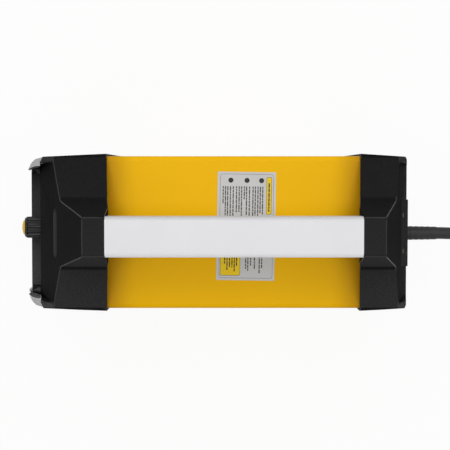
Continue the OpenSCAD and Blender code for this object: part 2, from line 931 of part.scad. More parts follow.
module display_window() {
    color("#1a2024", 0.6)
        on_panel()
            translate([display_x, 0, 0])
                along(-0.4, panel_t - 0.4)
                    square([display_w - 2 * fit, display_h - 2 * fit], center = true);
}

module display_module() {
    color("#3a3f44")
        on_panel()
            translate([display_x - display_w / 2 + 1, panel_t, -display_h / 2 + 1])
                cube([display_w - 2, board_gap, display_h - 2]);
}

module control_board() {
    color("darkgreen")
        on_panel()
            difference() {
                translate([-board_half, board_y, -post_up - 3])
                    cube([2 * board_half, board_t, 2 * post_up + 6]);
                for (x = [-post_x, post_x], z = [-post_up, post_up])
                    translate([x, 0, z])
                        bar_y(1.25 + hole_fit, 0, board_y + 4);
            }
}

module board_posts() {
    color("gainsboro")
        on_panel()
            for (x = [-post_x, post_x], z = [-post_up, post_up])
                translate([x, 0, z])
                    ring_y(2.3, 1.25 + hole_fit / 2, panel_t, board_y);
}

module board_screws() {
    color("silver")
        on_panel()
            for (x = [-post_x, post_x], z = [-post_up, post_up])
                translate([x, board_y + board_t, z])
                    rotate([0, 0, 180])
                        screw_y(1.25, 2.3, 1.6, 7);
}

module potentiometer() {
    color("slategray")
        on_panel()
            translate([knob_x, 0, knob_up])
                difference() {
                    union() {
                        bar_y(8, panel_t + fit, board_y);
                        bar_y(3.5, -0.4, panel_t + 1);
                    }
                    bar_y(3.05, -2, board_y - 2);
                }
}

module knob_shaft() {
    color("silver")
        on_panel()
            translate([knob_x, 0, knob_up])
                bar_y(3, -skirt_len + 4, board_y - 2.3);
}

module control_knob() {
    color("#1d1d1f")
        on_panel()
            translate([knob_x, 0, knob_up])
                difference() {
                    union() {
                        bar_y(knob_r, -skirt_len + 1.4, -1);
                        translate([0, -skirt_len + 1.4, 0])
                            rotate([90, 0, 0])
                                cylinder(h = 1.4, r1 = knob_r, r2 = knob_r - 1.4);
                    }
                    bar_y(3, -skirt_len + 4, 0);
                    bar_y(cap_d / 2 - 1, -skirt_len - 1, -skirt_len + 1.5);
                    for (i = [0 : flute_count - 1])
                        rotate([0, (i + 0.5) * 360 / flute_count, 0])
                            translate([knob_r + 0.5, 0, 0])
                                bar_y(1.2, -skirt_len + 1.6, 0);
                }
}

module knob_cap() {
    color("gold")
        on_panel()
            translate([knob_x, -skirt_len, knob_up])
                rotate([90, 0, 0]) {
                    intersection() {
                        translate([0, 0, cap_h - cap_curve])
                            sphere(cap_curve);
                        cylinder(h = cap_h + 1, r = cap_d / 2);
                    }
                    translate([0, 0, -1.3])
                        cylinder(h = 1.3 + eps, r = cap_d / 2 - 1.1);
                }
}

module push_button(x) {
    on_panel()
        translate([x, 0, button_up]) {
            bar_y(button_d / 2, -2.4, panel_t + 1.3);
            bar_y(button_d / 2 + 0.9, panel_t + 0.3, panel_t + 1.3);
            bar_y(1.8, panel_t + 1, board_y - 3.5 - button_travel - 0.3);
        }
}

module mode_button() {
    color("gainsboro")
        push_button(button_x[0]);
}

module start_button() {
    color("gold")
        push_button(button_x[1]);
}

module button_switches() {
    color("black")
        on_panel()
            for (x = button_x)
                translate([x - 3, board_y - 3.5, button_up - 3])
                    cube([6, 3.5, 6]);
}

module status_lamps() {
    color("limegreen")
        on_panel()
            for (x = lamp_x)
                translate([x, 0, lamp_up])
                    bar_y(1.5, -0.6, board_y);
}

// flat cable from the control board down to the power board, 18 mm wide
module panel_ribbon() {
    y0 = panel_y(panel_mid_z) + (board_y + board_t) / cos(panel_lean) + fit;
    t = 1;
    color("lightsteelblue")
        across(-9, 9)
            polygon([
                [y0, panel_mid_z - 4], [y0 + 7, panel_mid_z - 4], [y0 + 13, panel_mid_z - 10], [y0 + 13, parts_z + 14],
                [board_front + 5, parts_z + 4], [board_front + 5, parts_z], [board_front + 9, parts_z],
                [board_front + 9, parts_z + 5.5], [y0 + 13 + t, parts_z + 16], [y0 + 13 + t, panel_mid_z - 9.5],
                [y0 + 7.5, panel_mid_z - 4 + t], [y0, panel_mid_z - 4 + t]
            ]);
}

// ---- output sockets ----

module socket_panel() {
    color("#303236")
        difference() {
            mid_box(collar_half - fit, socket_plate_y, socket_plate_y + socket_plate_t, collar_low + fit, collar_high - fit);
            for (s = [-1, 1])
                translate([s * socket_x, 0, socket_z])
                    bar_y(12.6, socket_plate_y - 1, socket_plate_y + socket_plate_t + 1);
        }
}

module output_socket() {
    difference() {
        union() {
            bar_y(socket_d / 2, contact_y - 0.8, socket_plate_y - 1.2);
            bar_y(12.5, socket_plate_y - 1.5, contact_back - 3);
            bar_y(17, socket_plate_y - 2.2, socket_plate_y);
        }
        bar_y(contact_r, contact_y - 2, contact_back + 1);
    }
}

module positive_socket() {
    color("#1c1c1e")
        translate([socket_x, 0, socket_z])
            output_socket();
}

module negative_socket() {
    color("#1c1c1e")
        translate([-socket_x, 0, socket_z])
            output_socket();
}

module socket_ring() {
    ring_y(18.5, 17, socket_plate_y - 1.8, socket_plate_y);
}

module positive_ring() {
    color("firebrick")
        translate([socket_x, 0, socket_z])
            socket_ring();
}

module negative_ring() {
    color("#30343a")
        translate([-socket_x, 0, socket_z])
            socket_ring();
}

module socket_contacts() {
    color("goldenrod")
        for (s = [-1, 1])
            translate([s * socket_x, 0, socket_z])
                difference() {
                    bar_y(contact_r, contact_y, contact_back);
                    bar_y(socket_bore / 2, contact_y - 1, contact_y + socket_depth);
                }
}

module socket_nuts() {
    color("#1c1c1e")
        for (s = [-1, 1])
            translate([s * socket_x, socket_plate_y + socket_plate_t, socket_z])
                difference() {
                    rotate([-90, 30, 0])
                        cylinder(h = 4, r = 17.5, $fn = 6);
                    bar_y(12.5, -1, 5);
                }
}

// copper bars from the contacts down to the power board
module copper_bars() {
    bar_w = 12;
    y1 = contact_back;
    y2 = board_front + 10;
    color("peru")
        for (s = [-1, 1])
            across(s * socket_x - bar_w / 2, s * socket_x + bar_w / 2)
                polygon([
                    [y1, socket_z - 8], [y1 + 2, socket_z - 8], [y1 + 2, socket_z + 4], [y2 - 2, socket_z + 4],
                    [y2 - 2, parts_z], [y2, parts_z], [y2, socket_z + 6], [y1, socket_z + 6]
                ]);
}

// ---- rear panel ----

module rear_screw_places() {
    for (s = [-1, 1], z = [rear_low + 4, rear_high - 8])
        translate([s * (rear_open_half + 3.6), rear_wall_y, z])
            children();
}

module fan_screw_places(y) {
    for (sx = [-1, 1], sz = [-1, 1])
        translate([sx * fan_pitch / 2, y, fan_z + sz * fan_pitch / 2])
            children();
}

module rear_panel() {
    color("#3a3b3e")
        difference() {
            mid_box(rear_plate_half, rear_plate_y - rear_t, rear_plate_y, tray_z + 1, rear_high + 4);
            translate([0, 0, fan_z])
                bar_y(fan_size / 2 - 2, rear_plate_y - 5, rear_plate_y + 5);
            fan_screw_places(rear_plate_y)
                bar_y(2 + hole_fit, -5, 5);
            rear_screw_places()
                bar_y(1.6 + hole_fit, -20, 5);
            translate([switch_x - rocker_w / 2 - 1.5, rear_plate_y - 5, row_z - rocker_h / 2 - 1.5])
                cube([rocker_w + 3, 10, rocker_h + 3]);
            translate([fuse_x, 0, row_z])
                bar_y(6.3, rear_plate_y - 5, rear_plate_y + 5);
            translate([gland_x, 0, gland_z])
                bar_y(7.6, rear_plate_y - 5, rear_plate_y + 5);
        }
}

module rear_panel_screws() {
    color("silver")
        rear_screw_places()
            rotate([0, 0, 180])
                screw_y(1.6, 3, 1.8, wall + rear_t + 5);
}

module fan_frame() {
    half = fan_size / 2;
    color("#26272a")
        translate([0, fan_y, fan_z]) {
            difference() {
                along(-fan_depth, 0)
                    soft_rect(fan_size, fan_size, 4);
                bar_y(half - 2, -fan_depth - 1, 1);
                for (sx = [-1, 1], sz = [-1, 1])
                    translate([sx * fan_pitch / 2, 0, sz * fan_pitch / 2])
                        bar_y(2 + hole_fit, -fan_depth - 1, 1);
            }
            difference() {
                union() {
                    bar_y(15, -fan_depth, -fan_depth + 3);
                    for (a = [45 : 90 : 315])
                        rotate([0, a, 0])
                            translate([10, -fan_depth, -2])
                                cube([half - 11, 3, 4]);
                }
                bar_y(1.55, -fan_depth - 1, 0);
            }
        }
}

module fan_rotor() {
    hub = 15;
    depth = fan_depth - 7;
    color("#18181a")
        translate([0, fan_y - fan_depth + 3.6, fan_z]) {
            bar_y(hub, 0, depth);
            bar_y(1.5, -3.4, 1);
            intersection() {
                ring_y(fan_size / 2 - 3.2, hub - 1, 0.6, depth - 0.6);
                for (i = [0 : blade_count - 1])
                    rotate([0, i * 360 / blade_count, 0])
                        translate([hub - 2, depth / 2, 0])
                            rotate([38, 0, 0])
                                translate([0, -depth, -0.8])
                                    cube([fan_size / 2, 2 * depth, 1.6]);
            }
        }
}

module fan_guard() {
    wire = 0.9;
    color("silver")
        translate([0, rear_plate_y, fan_z]) {
            difference() {
                union() {
                    for (i = [0 : 3], r = 10 + i * (fan_size / 2 - 14.5) / 3)
                        ring_y(r + wire, r - wire, 0, 2 * wire);
                    for (a = [45 : 90 : 315])
                        rotate([0, a, 0])
                            translate([9.6, 0.2, -wire])
                                cube([fan_pitch / sqrt(2) - 9.6 - 2.9, 1.4, 2 * wire]);
                    for (sx = [-1, 1], sz = [-1, 1])
                        translate([sx * fan_pitch / 2, 0, sz * fan_pitch / 2])
                            bar_y(3.8, 0, 2 * wire);
                }
                for (sx = [-1, 1], sz = [-1, 1])
                    translate([sx * fan_pitch / 2, 0, sz * fan_pitch / 2])
                        bar_y(2 + hole_fit, -1, 3);
            }
        }
}

module fan_screws() {
    color("silver")
        fan_screw_places(rear_plate_y + 1.8)
            rotate([0, 0, 180])
                screw_y(2, 3.6, 1.8, rear_t + fan_depth + 1);
}

module switch_frame() {
    color("#151516")
        translate([switch_x, 0, row_z])
            difference() {
                union() {
                    along(rear_plate_y, rear_plate_y + 1.8)
                        soft_rect(rocker_w + 6, rocker_h + 6, 1.5);
                    along(rear_plate_y - 18, rear_plate_y + 1)
                        square([rocker_w + 3 - 2 * fit, rocker_h + 3 - 2 * fit], center = true);
                }
                along(rear_plate_y - 9, rear_plate_y + 3)
                    square([rocker_w + 0.8, rocker_h + 1.2], center = true);
                translate([0, rear_plate_y - 1, 0])
                    rotate([0, 90, 0])
                        cylinder(h = rocker_w + 1.6, r = 1.55, center = true);
            }
}

rocker_tip = 10;                              // tilt of the rocker each side of its middle

module switch_rocker() {
    half = rocker_h / 2;
    color("firebrick")
        translate([switch_x, rear_plate_y - 1, row_z])
            rotate([rocker_tip, 0, 0]) {
                across(-rocker_w / 2, rocker_w / 2)
                    polygon([
                        [-3, -half + 3.5], [1.5, -half + 0.4], [5, -half + 0.2], [2.6, 0], [5, half - 0.2],
                        [1.5, half - 0.4], [-3, half - 3.5]
                    ]);
                rotate([0, 90, 0])
                    cylinder(h = rocker_w + 1.2, r = 1.5, center = true);
            }
}

module fuse_holder() {
    color("#1a1a1c")
        translate([fuse_x, 0, row_z])
            difference() {
                union() {
                    bar_y(7.6, rear_plate_y, rear_plate_y + 2);
                    bar_y(6.2, rear_plate_y - 26, rear_plate_y + 1);
                }
                bar_y(5, rear_plate_y - 22, rear_plate_y + 3);
            }
}

module fuse_cap() {
    color("#242427")
        translate([fuse_x, 0, row_z])
            difference() {
                union() {
                    bar_y(6.8, rear_plate_y + 2, rear_plate_y + 7);
                    bar_y(4.9, rear_plate_y - 10, rear_plate_y + 3);
                }
                translate([-5, rear_plate_y + 5.6, -0.7])
                    cube([10, 3, 1.4]);
            }
}

// ---- power electronics ----

module power_board() {
    color("darkgreen")
        difference() {
            mid_box(power_half, board_front, board_rear, board_z, board_z + board_t);
            power_board_places()
                cylinder(h = 60, r = 1.5 + hole_fit);
        }
}

module power_board_places() {
    for (x = [-power_half + 4, power_half - 4], y = [board_front + 5, board_rear - 5])
        translate([x, y, 0])
            children();
}

module power_board_feet() {
    color("gold")
        power_board_places() {
            translate([0, 0, tray_z + tray_t])
                cylinder(h = board_z - tray_z - tray_t, r = 3, $fn = 6);
            translate([0, 0, board_z - eps])
                cylinder(h = board_t + 2 * eps, r = 1.5);
            translate([0, 0, board_z + board_t])
                cylinder(h = 1.6, r = 2.8);
        }
}

module sink_outline() {
    square([2 * sink_half, 4]);
    translate([2 * sink_half - 4, 0])
        square([4, sink_h]);
    for (i = [0 : 6])
        translate([0, 10 + i * 8])
            square([2 * sink_half - 2, 2]);
}

module heatsinks() {
    color("silver")
        for (s = [-1, 1])
            mirror([s < 0 ? 1 : 0, 0, 0])
                translate([sink_x + sink_half, 0, parts_z])
                    along(sink_front, sink_front + sink_len)
                        mirror([1, 0])
                            sink_outline();
}

transistor_count = 4;

module power_transistors() {
    color("#202020")
        for (s = [-1, 1], i = [0 : transistor_count - 1])
            translate([s * (sink_edge - chip_t / 2), sink_front + (i + 0.5) * chip_pitch, parts_z + 10 + chip_h / 2])
                cube([chip_t, chip_w, chip_h], center = true);
}

transformer_y = (y_front + y_rear) / 2 + 12;

module transformer() {
    color("#4a4038")
        translate([0, transformer_y, parts_z]) {
            difference() {
                mid_box(9, -26, 26, 0, 46);
                mid_box(10, -19, -8, 7, 39);
                mid_box(10, 8, 19, 7, 39);
            }
            difference() {
                translate([0, 0, 7.5])
                    linear_extrude(31)
                        soft_rect(24, 37, 8);
                mid_box(9, -8, 8, 0, 46);
                mid_box(9 + fit, -30, -8 - 8, 0, 46);
                mid_box(9 + fit, 8 + 8, 30, 0, 46);
            }
        }
}

choke_y = sink_front + 14;

module output_choke() {
    color("#b5651d")
        translate([0, choke_y, parts_z + 4])
            rotate_extrude()
                translate([7.4, 0])
                    circle(3.9, $fn = 32);
    color("#b5651d")
        translate([0, choke_y, parts_z])
            cylinder(h = 2.4, r = 6.5);
}

module filter_capacitors() {
    color("#2b3a55")
        for (x = [-can_pitch, 0, can_pitch])
            translate([x, board_rear - can_r - 3, parts_z])
                cylinder(h = can_h, r = can_r);
}

// ---- feet ----

module rubber_feet() {
    color("#161616")
        for (p = foot_places)
            translate([p[0], p[1], 0])
                difference() {
                    union() {
                        cylinder(h = 1.5, r1 = foot_d / 2 - 1.5, r2 = foot_d / 2);
                        translate([0, 0, 1.5 - eps])
                            cylinder(h = foot_h - 1.5 + eps, r = foot_d / 2);
                    }
                    translate([0, 0, -1])
                        cylinder(h = 3.6, r = 4.4);
                    cylinder(h = foot_h + 1, r = 2 + hole_fit);
                }
}

module foot_screws() {
    color("silver")
        for (p = foot_places)
            translate([p[0], p[1], 0]) {
                translate([0, 0, 0.6])
                    cylinder(h = 2, r = 3.8);
                translate([0, 0, 2])
                    cylinder(h = tray_z + tray_t + 4 - 2, r = 2);
            }
}

// ---- mains cord ----

module cord_gland() {
    color("#1b1b1d")
        translate([gland_x, 0, gland_z])
            difference() {
                union() {
                    rotate([-90, 0, 0])
                        translate([0, 0, rear_plate_y])
                            cylinder(h = 8, r = 10.5, $fn = 6);
                    bar_y(7.5, rear_plate_y - 10, rear_plate_y + 1);
                    rotate([-90, 0, 0])
                        translate([0, 0, rear_plate_y - rear_t - 4])
                            cylinder(h = 4, r = 10.5, $fn = 6);
                }
                bar_y(cord_r + 0.05, rear_plate_y - 20, rear_plate_y + 20);
            }
}

boot_len = 30;

module strain_relief() {
    y0 = rear_plate_y + 8;
    color("#1b1b1d")
        translate([gland_x, y0, gland_z])
            difference() {
                union() {
                    rotate([-90, 0, 0])
                        cylinder(h = boot_len, r1 = cord_r + 1, r2 = cord_r + 0.5);
                    for (i = [0 : 4])
                        bar_y(cord_r + 1.1 - i * 0.08, 3 + i * 5, 5.4 + i * 5);
                }
                bar_y(cord_r + 0.05, -1, boot_len + 1);
            }
}

// direction of the route at its i-th point, and the ring of tube points there
function way(p, i) =
    let (a = p[max(i - 1, 0)], b = p[min(i + 1, len(p) - 1)], d = b - a)
    d / norm(d);

function tube_ring(c, t, r, sides) =
    let (side = [1, 0, 0], up = cross(side, t))
    [for (k = [0 : sides - 1]) c + r * (cos(k * 360 / sides) * side + sin(k * 360 / sides) * up)];

module tube(p, r, sides = 10) {
    n = len(p);
    points = [for (i = [0 : n - 1]) each tube_ring(p[i], way(p, i), r, sides)];
    faces = concat(
        [[for (k = [0 : sides - 1]) k]],
        [for (i = [0 : n - 2], k = [0 : sides - 1])
            [i * sides + k, (i + 1) * sides + k, (i + 1) * sides + (k + 1) % sides, i * sides + (k + 1) % sides]],
        [[for (k = [sides - 1 : -1 : 0]) (n - 1) * sides + k]]
    );
    polyhedron(points, faces, convexity = 6);
}

module cord_run() {
    color("#1a1a1a")
        tube(route, cord_r);
}

module cord_coil() {
    color("#1a1a1a")
        translate([coil_x, coil_y, coil_low])
            rotate_extrude($fn = 64)
                translate([coil_mid_r - coil_pitch, 0])
                    square([2 * coil_pitch, coil_h]);
}

module mains_plug() {
    color("#161616")
        translate([plug_x, plug_y, plug_z])
            rotate([0, -90, 0]) {
                cylinder(h = plug_len, r = plug_d / 2);
                translate([0, 0, -24])
                    cylinder(h = 24 + eps, r1 = cord_r + 1.4, r2 = 9);
                for (s = [-1, 1])
                    translate([0, s * pin_pitch / 2, plug_len - eps])
                        cylinder(h = pin_len, r = pin_r);
            }
}

case_cover();
base_tray();
front_bezel();
rear_bezel();
handle_bar();
handle_core();
handle_bolts();
guard_left();
guard_right();
guard_screws();
label_sticker();
cover_screws();
control_panel();
display_window();
display_module();
control_board();
board_posts();
board_screws();
potentiometer();
knob_shaft();
control_knob();
knob_cap();
mode_button();
start_button();
button_switches();
status_lamps();
panel_ribbon();
socket_panel();
positive_socket();
negative_socket();
positive_ring();
negative_ring();
socket_contacts();
socket_nuts();
copper_bars();
rear_panel();
rear_panel_screws();
rear_top_screws();
fan_frame();
fan_rotor();
fan_guard();
fan_screws();
switch_frame();
switch_rocker();
fuse_holder();
fuse_cap();
power_board();
power_board_feet();
heatsinks();
power_transistors();
transformer();
output_choke();
filter_capacitors();
rubber_feet();
foot_screws();
cord_gland();
strain_relief();
cord_run();
cord_coil();
mains_plug();
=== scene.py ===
"""Car battery charger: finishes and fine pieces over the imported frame."""
import json
import math
import bmesh
import bpy
import numpy as np
from mathutils import Matrix, Vector


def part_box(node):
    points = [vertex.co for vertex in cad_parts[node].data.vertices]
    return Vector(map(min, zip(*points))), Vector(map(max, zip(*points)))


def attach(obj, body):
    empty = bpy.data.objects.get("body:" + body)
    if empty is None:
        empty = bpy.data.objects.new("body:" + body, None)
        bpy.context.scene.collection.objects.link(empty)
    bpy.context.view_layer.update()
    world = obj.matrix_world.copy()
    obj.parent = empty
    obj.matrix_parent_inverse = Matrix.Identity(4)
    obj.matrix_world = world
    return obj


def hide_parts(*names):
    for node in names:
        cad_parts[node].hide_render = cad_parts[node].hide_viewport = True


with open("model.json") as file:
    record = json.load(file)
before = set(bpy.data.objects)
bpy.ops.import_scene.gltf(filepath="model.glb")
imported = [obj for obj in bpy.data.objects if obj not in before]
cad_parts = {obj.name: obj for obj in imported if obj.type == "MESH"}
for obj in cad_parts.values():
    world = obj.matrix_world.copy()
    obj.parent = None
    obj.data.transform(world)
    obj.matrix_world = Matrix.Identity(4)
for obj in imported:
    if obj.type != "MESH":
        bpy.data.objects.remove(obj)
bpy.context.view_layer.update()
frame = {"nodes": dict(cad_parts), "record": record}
MM = 0.001


def placed(name, data):
    """A new object in the scene."""
    made = bpy.data.objects.new(name, data)
    bpy.context.scene.collection.objects.link(made)
    return made


# -------- camera

CAMERA_PLACE = Vector((-0.049, 0.010, 1.172))
LOOKED_AT = Vector((-0.0062, 0.010, 0.172))
LENS_MM = 97.0


def overhead_camera():
    """A long lens above the handle; the front of the charger is at the picture's left."""
    data = bpy.data.cameras.new("overhead_camera")
    data.lens = LENS_MM
    camera = placed("overhead_camera", data)
    back = (CAMERA_PLACE - LOOKED_AT).normalized()
    up = back.cross(Vector((0, 1, 0))).normalized()
    camera.matrix_world = Matrix((up.cross(back).normalized(), up, back)).transposed().to_4x4()
    camera.location = CAMERA_PLACE
    bpy.context.scene.camera = camera


overhead_camera()

# -------- meshes from numpy


def axes_of(axis, hint=(0, 0, 1)):
    """Three unit vectors as rows: side, up and the axis itself. The hint says roughly where up is."""
    axis = np.array(axis, float) / np.linalg.norm(axis)
    hint = np.array(hint, float)
    if abs(axis @ hint) > 0.95:
        hint = np.array([0.0, 1.0, 0.0])
    side = np.cross(hint, axis)
    side /= np.linalg.norm(side)
    return np.array([side, np.cross(axis, side), axis])


def grid_faces(rows, columns, round_rows, round_columns):
    """Quads of a rows x columns grid; a round direction joins its last line to its first."""
    i = np.arange(rows if round_rows else rows - 1)[:, None]
    j = np.arange(columns if round_columns else columns - 1)[None, :]
    i2, j2 = (i + 1) % rows, (j + 1) % columns
    quads = [i * columns + j, i2 * columns + j, i2 * columns + j2, i * columns + j2]
    return np.stack(np.broadcast_arrays(*quads), -1).reshape(-1, 4)


def sheet_of(points, round_rows=False, round_columns=False):
    """A grid of points as (points, faces)."""
    points = np.asarray(points, float)
    return points.reshape(-1, 3), grid_faces(*points.shape[:2], round_rows, round_columns)


def capped(grid, axis=0):
    """A grid of points whose first and last lines along an axis are closed by their middles."""
    lines = [np.take(grid, [end], axis) for end in (0, -1)]
    first, last = [np.broadcast_to(line.mean(1 - axis, keepdims=True), line.shape) for line in lines]
    return np.concatenate([first, grid, last], axis)


def lathe(profile, place, axis, hint=(0, 0, 1), sides=64, swell=None):
    """Solid of revolution: point(h, a) = place + h * axis + r(h) * (cos a * side + sin a * up).
    swell(h, a) multiplies the radius, for flutes and grips. The profile is rows of (r, h) in millimetres."""
    r, h = np.array(profile, float).T * MM
    a = np.linspace(0, 2 * math.pi, sides, endpoint=False)
    radius = r[:, None] * (1 if swell is None else swell(h[:, None] / MM, a[None, :]))
    side, up, along = axes_of(axis, hint)
    ring = np.cos(a)[:, None] * side + np.sin(a)[:, None] * up
    return sheet_of(np.asarray(place) + radius[..., None] * ring + h[:, None, None] * along, False, True)


def rounded_profile(corners, radius, steps=5):
    """Profile with round corners: each corner P between A and B becomes the quadratic curve from
    P + k(A - P) to P + m(B - P). Both cuts are radius long, or 0.45 of their side where that is shorter."""
    corners = np.array(corners, float)
    t = np.linspace(0, 1, steps)[:, None]
    out = [corners[:1]]
    for before, corner, after in zip(corners, corners[1:], corners[2:]):
        cut = [min(radius, 0.45 * np.linalg.norm(end - corner)) for end in (before, after)]
        first = corner + cut[0] * (before - corner) / max(np.linalg.norm(before - corner), 1e-9)
        last = corner + cut[1] * (after - corner) / max(np.linalg.norm(after - corner), 1e-9)
        out.append((1 - t) ** 2 * first + 2 * t * (1 - t) * corner + t ** 2 * last)
    return np.concatenate(out + [corners[-1:]])


def swept(points, radius, sides=16, closed=False):
    """Round bar along points: each ring lies across the path, and its side vector is carried from ring
    to ring without twist by taking away what it has along the path."""
    points = np.asarray(points, float)
    ways = np.roll(points, -1, 0) - np.roll(points, 1, 0)
    if not closed:
        ways[0], ways[-1] = points[1] - points[0], points[-1] - points[-2]
    ways /= np.linalg.norm(ways, axis=1)[:, None]
    side = axes_of(ways[0])[0]
    sides_of = []
    for way in ways:
        side = side - (side @ way) * way
        side = side / np.linalg.norm(side)
        sides_of.append(side)
    sides_of = np.array(sides_of)
    ups = np.cross(ways, sides_of)
    a = np.linspace(0, 2 * math.pi, sides, endpoint=False)
    ring = np.cos(a)[None, :, None] * sides_of[:, None] + np.sin(a)[None, :, None] * ups[:, None]
    tube = points[:, None] + radius * ring
    return sheet_of(tube if closed else capped(tube), closed, True)


def circle(radius, place, axis, count=48):
    """Points round a circle about the axis."""
    a = np.linspace(0, 2 * math.pi, count, endpoint=False)[:, None]
    side, up, _ = axes_of(axis)
    return np.asarray(place) + radius * (np.cos(a) * side + np.sin(a) * up)


def slab(size, place, axis, hint=(0, 0, 1), edge=0.25):
    """Thin cushion-edged plate: a rounded rectangle of size (w, h, t) whose rim is rounded over by edge,
    as rings of one outline at rising heights; w runs along side, h along up. Millimetres."""
    w, h, t = size
    edge = min(edge, t * 0.49, w * 0.3, h * 0.3)
    corner = min(w, h) * 0.12 + edge
    a = np.linspace(0, 2 * math.pi, 40, endpoint=False)
    cx, cy = np.cos(a), np.sin(a)
    rows = [(w / 2, h / 2, 0.0)]
    for b in np.linspace(0, math.pi / 2, 4):
        inset = edge * (1 - math.cos(b))
        rows.append((w / 2 - inset, h / 2 - inset, t - edge + edge * math.sin(b)))
    side, up, out = axes_of(axis, hint)
    rings = []
    for half_w, half_h, z in rows:
        k = min(corner, half_w, half_h)
        x = np.sign(np.round(cx, 9)) * (half_w - k) + k * cx
        y = np.sign(np.round(cy, 9)) * (half_h - k) + k * cy
        rings.append((x[:, None] * side + y[:, None] * up + z * out) * MM)
    return sheet_of(np.asarray(place) + capped(np.array(rings)), False, True)


def screw_head(place, axis, radius, height, hint=(0, 0, 1)):
    """Domed head with a cross recess: z(r, a) = height * sqrt(1 - 0.75 (r/R)^2) - depth where the point lies
    inside either bar of the cross, with soft walls; the rim drops to the seat. Millimetres."""
    r = np.concatenate([np.linspace(0, 1, 22), [1.0]])[:, None] * radius
    a = np.linspace(0, 2 * math.pi, 72, endpoint=False)[None, :]
    dome = height * np.sqrt(1 - 0.75 * (r / radius) ** 2)
    x, y = np.abs(r * np.cos(a)), np.abs(r * np.sin(a))
    bar, reach, soft = radius * 0.13, radius * 0.6, radius * 0.07
    beside, beyond = np.minimum(x, y) - bar, np.maximum(x, y) - reach
    cross = 1 / (1 + np.exp(beside / (soft * 0.3))) / (1 + np.exp(beyond / (soft * 0.5)))
    z = dome - 0.62 * height * cross
    z[-1] = 0.0
    side, up, out = axes_of(axis, hint)
    points = r[..., None] * (np.cos(a)[..., None] * side + np.sin(a)[..., None] * up) + z[..., None] * out
    base = np.zeros_like(points[:1])
    return sheet_of(np.asarray(place) + np.concatenate([points, base]) * MM, False, True)


def mesh_piece(name, parts, finish, body="housing", replaces=(), sharp=40.0):
    """One object from several (points, faces) parts, with its doubles merged and its normals outwards.
    A part may carry a third value, the number of its finish."""
    finishes = finish if isinstance(finish, (list, tuple)) else [finish]
    counts = np.cumsum([0] + [len(part[0]) for part in parts])
    points = np.concatenate([part[0] for part in parts])
    faces = np.concatenate([part[1] + start for part, start in zip(parts, counts)])
    marks = np.concatenate([np.full(len(part[1]), part[2] if len(part) > 2 else 0) for part in parts])
    mesh = bpy.data.meshes.new(name)
    mesh.from_pydata(points.tolist(), [], faces.tolist())
    mesh.polygons.foreach_set("material_index", marks.astype(np.int32))
    for each in finishes:
        mesh.materials.append(each)
    form = bmesh.new()
    form.from_mesh(mesh)
    bmesh.ops.remove_doubles(form, verts=form.verts, dist=2e-6)
    bmesh.ops.dissolve_degenerate(form, edges=form.edges, dist=1e-7)
    bmesh.ops.recalc_face_normals(form, faces=form.faces)
    form.to_mesh(mesh)
    form.free()
    return settle(name, mesh, body, replaces, sharp)


def settle(name, mesh, body, replaces=(), sharp=40.0):
    """Links a finished mesh, smooths it up to the sharp angle and lets it ride on its body."""
    piece = placed(name, mesh)
    mesh.polygons.foreach_set("use_smooth", np.ones(len(mesh.polygons), bool))
    mesh.set_sharp_from_angle(angle=math.radians(sharp))
    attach(piece, body)
    if replaces:
        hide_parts(*replaces)
    return piece


# -------- mains cord

CORD_D = 10.4 * MM
CORD_ROUTE = np.array([
    [3.5, 158, 109.5], [3.5, 172, 109.5], [3.5, 186, 109.5], [3.5, 197, 109.5], [3.9, 208.1, 108.1],
    [5, 218.6, 104.1], [6.6, 227.7, 97.7], [8.8, 235.1, 89.3], [11.3, 240.2, 79.3], [14, 242.8, 68.4],
    [16.8, 244.8, 57.4], [19.5, 246.7, 46.4], [22.2, 249.4, 35.5], [24.7, 254.5, 25.5], [26.9, 261.8, 17.1],
    [28.5, 271, 10.7], [29.6, 281.5, 6.7], [30, 292.6, 5.3],
])
COIL_PLACE = (-37.2, 320.0)
COIL_R = 62.0
COIL_PITCH = 10.5
COIL_LOW = 5.3
PLUG_R = 58.0
PLUG_TURN = math.radians(75)
PLUG_LIFT = 22.8


def smooth_step(t):
    t = np.clip(t, 0, 1)
    return t * t * (3 - 2 * t)


def coil_turns():
    """An outer turn, an inner one and a third on top that comes out again: radius and height are steps of
    the total angle, in quarter turns. The last 98 degrees rise by PLUG_LIFT and draw in to the plug."""
    quarter = math.pi / 2
    end = 12 * quarter + PLUG_TURN
    a = np.linspace(0, end, 92)[1:]
    q = a / quarter
    out, low = COIL_R + COIL_PITCH / 2, COIL_R - COIL_PITCH / 2
    r = out - COIL_PITCH * smooth_step(q - 3) + COIL_PITCH * smooth_step(q - 10)
    z = COIL_LOW + COIL_PITCH * smooth_step(q - 7)
    lift = smooth_step((a - end + math.radians(98)) / math.radians(98))
    r = r + (PLUG_R / math.sin(PLUG_TURN) - out) * lift
    z = z + PLUG_LIFT * lift
    return np.stack([COIL_PLACE[0] + r * np.cos(a), COIL_PLACE[1] + r * np.sin(a), z], 1)


def through(points, per=6):
    """Catmull-Rom curve through the points, per samples a span."""
    p = np.concatenate([2 * points[:1] - points[1:2], points, 2 * points[-1:] - points[-2:-1]])
    t = np.linspace(0, 1, per, endpoint=False)[:, None, None]
    a, b, c, d = p[:-3], p[1:-2], p[2:-1], p[3:]
    curve = 0.5 * (2 * b + (c - a) * t + (2 * a - 5 * b + 4 * c - d) * t ** 2 + (3 * b - a - 3 * c + d) * t ** 3)
    return np.concatenate([curve.transpose(1, 0, 2).reshape(-1, 3), points[-1:]])


def cord_line():
    """Route, straight run up to the coil, turns and the last straight bit into the plug."""
    run = np.array([[30.05, 302, 5.3], [30.05, 311, 5.3], [30.05, 320, 5.3]])
    turns = coil_turns()
    tail = turns[-1] + np.array([[-10.0, 0, 0]])
    return through(np.concatenate([CORD_ROUTE, run, turns, tail])) * MM


LINE = cord_line()

# -------- finishes


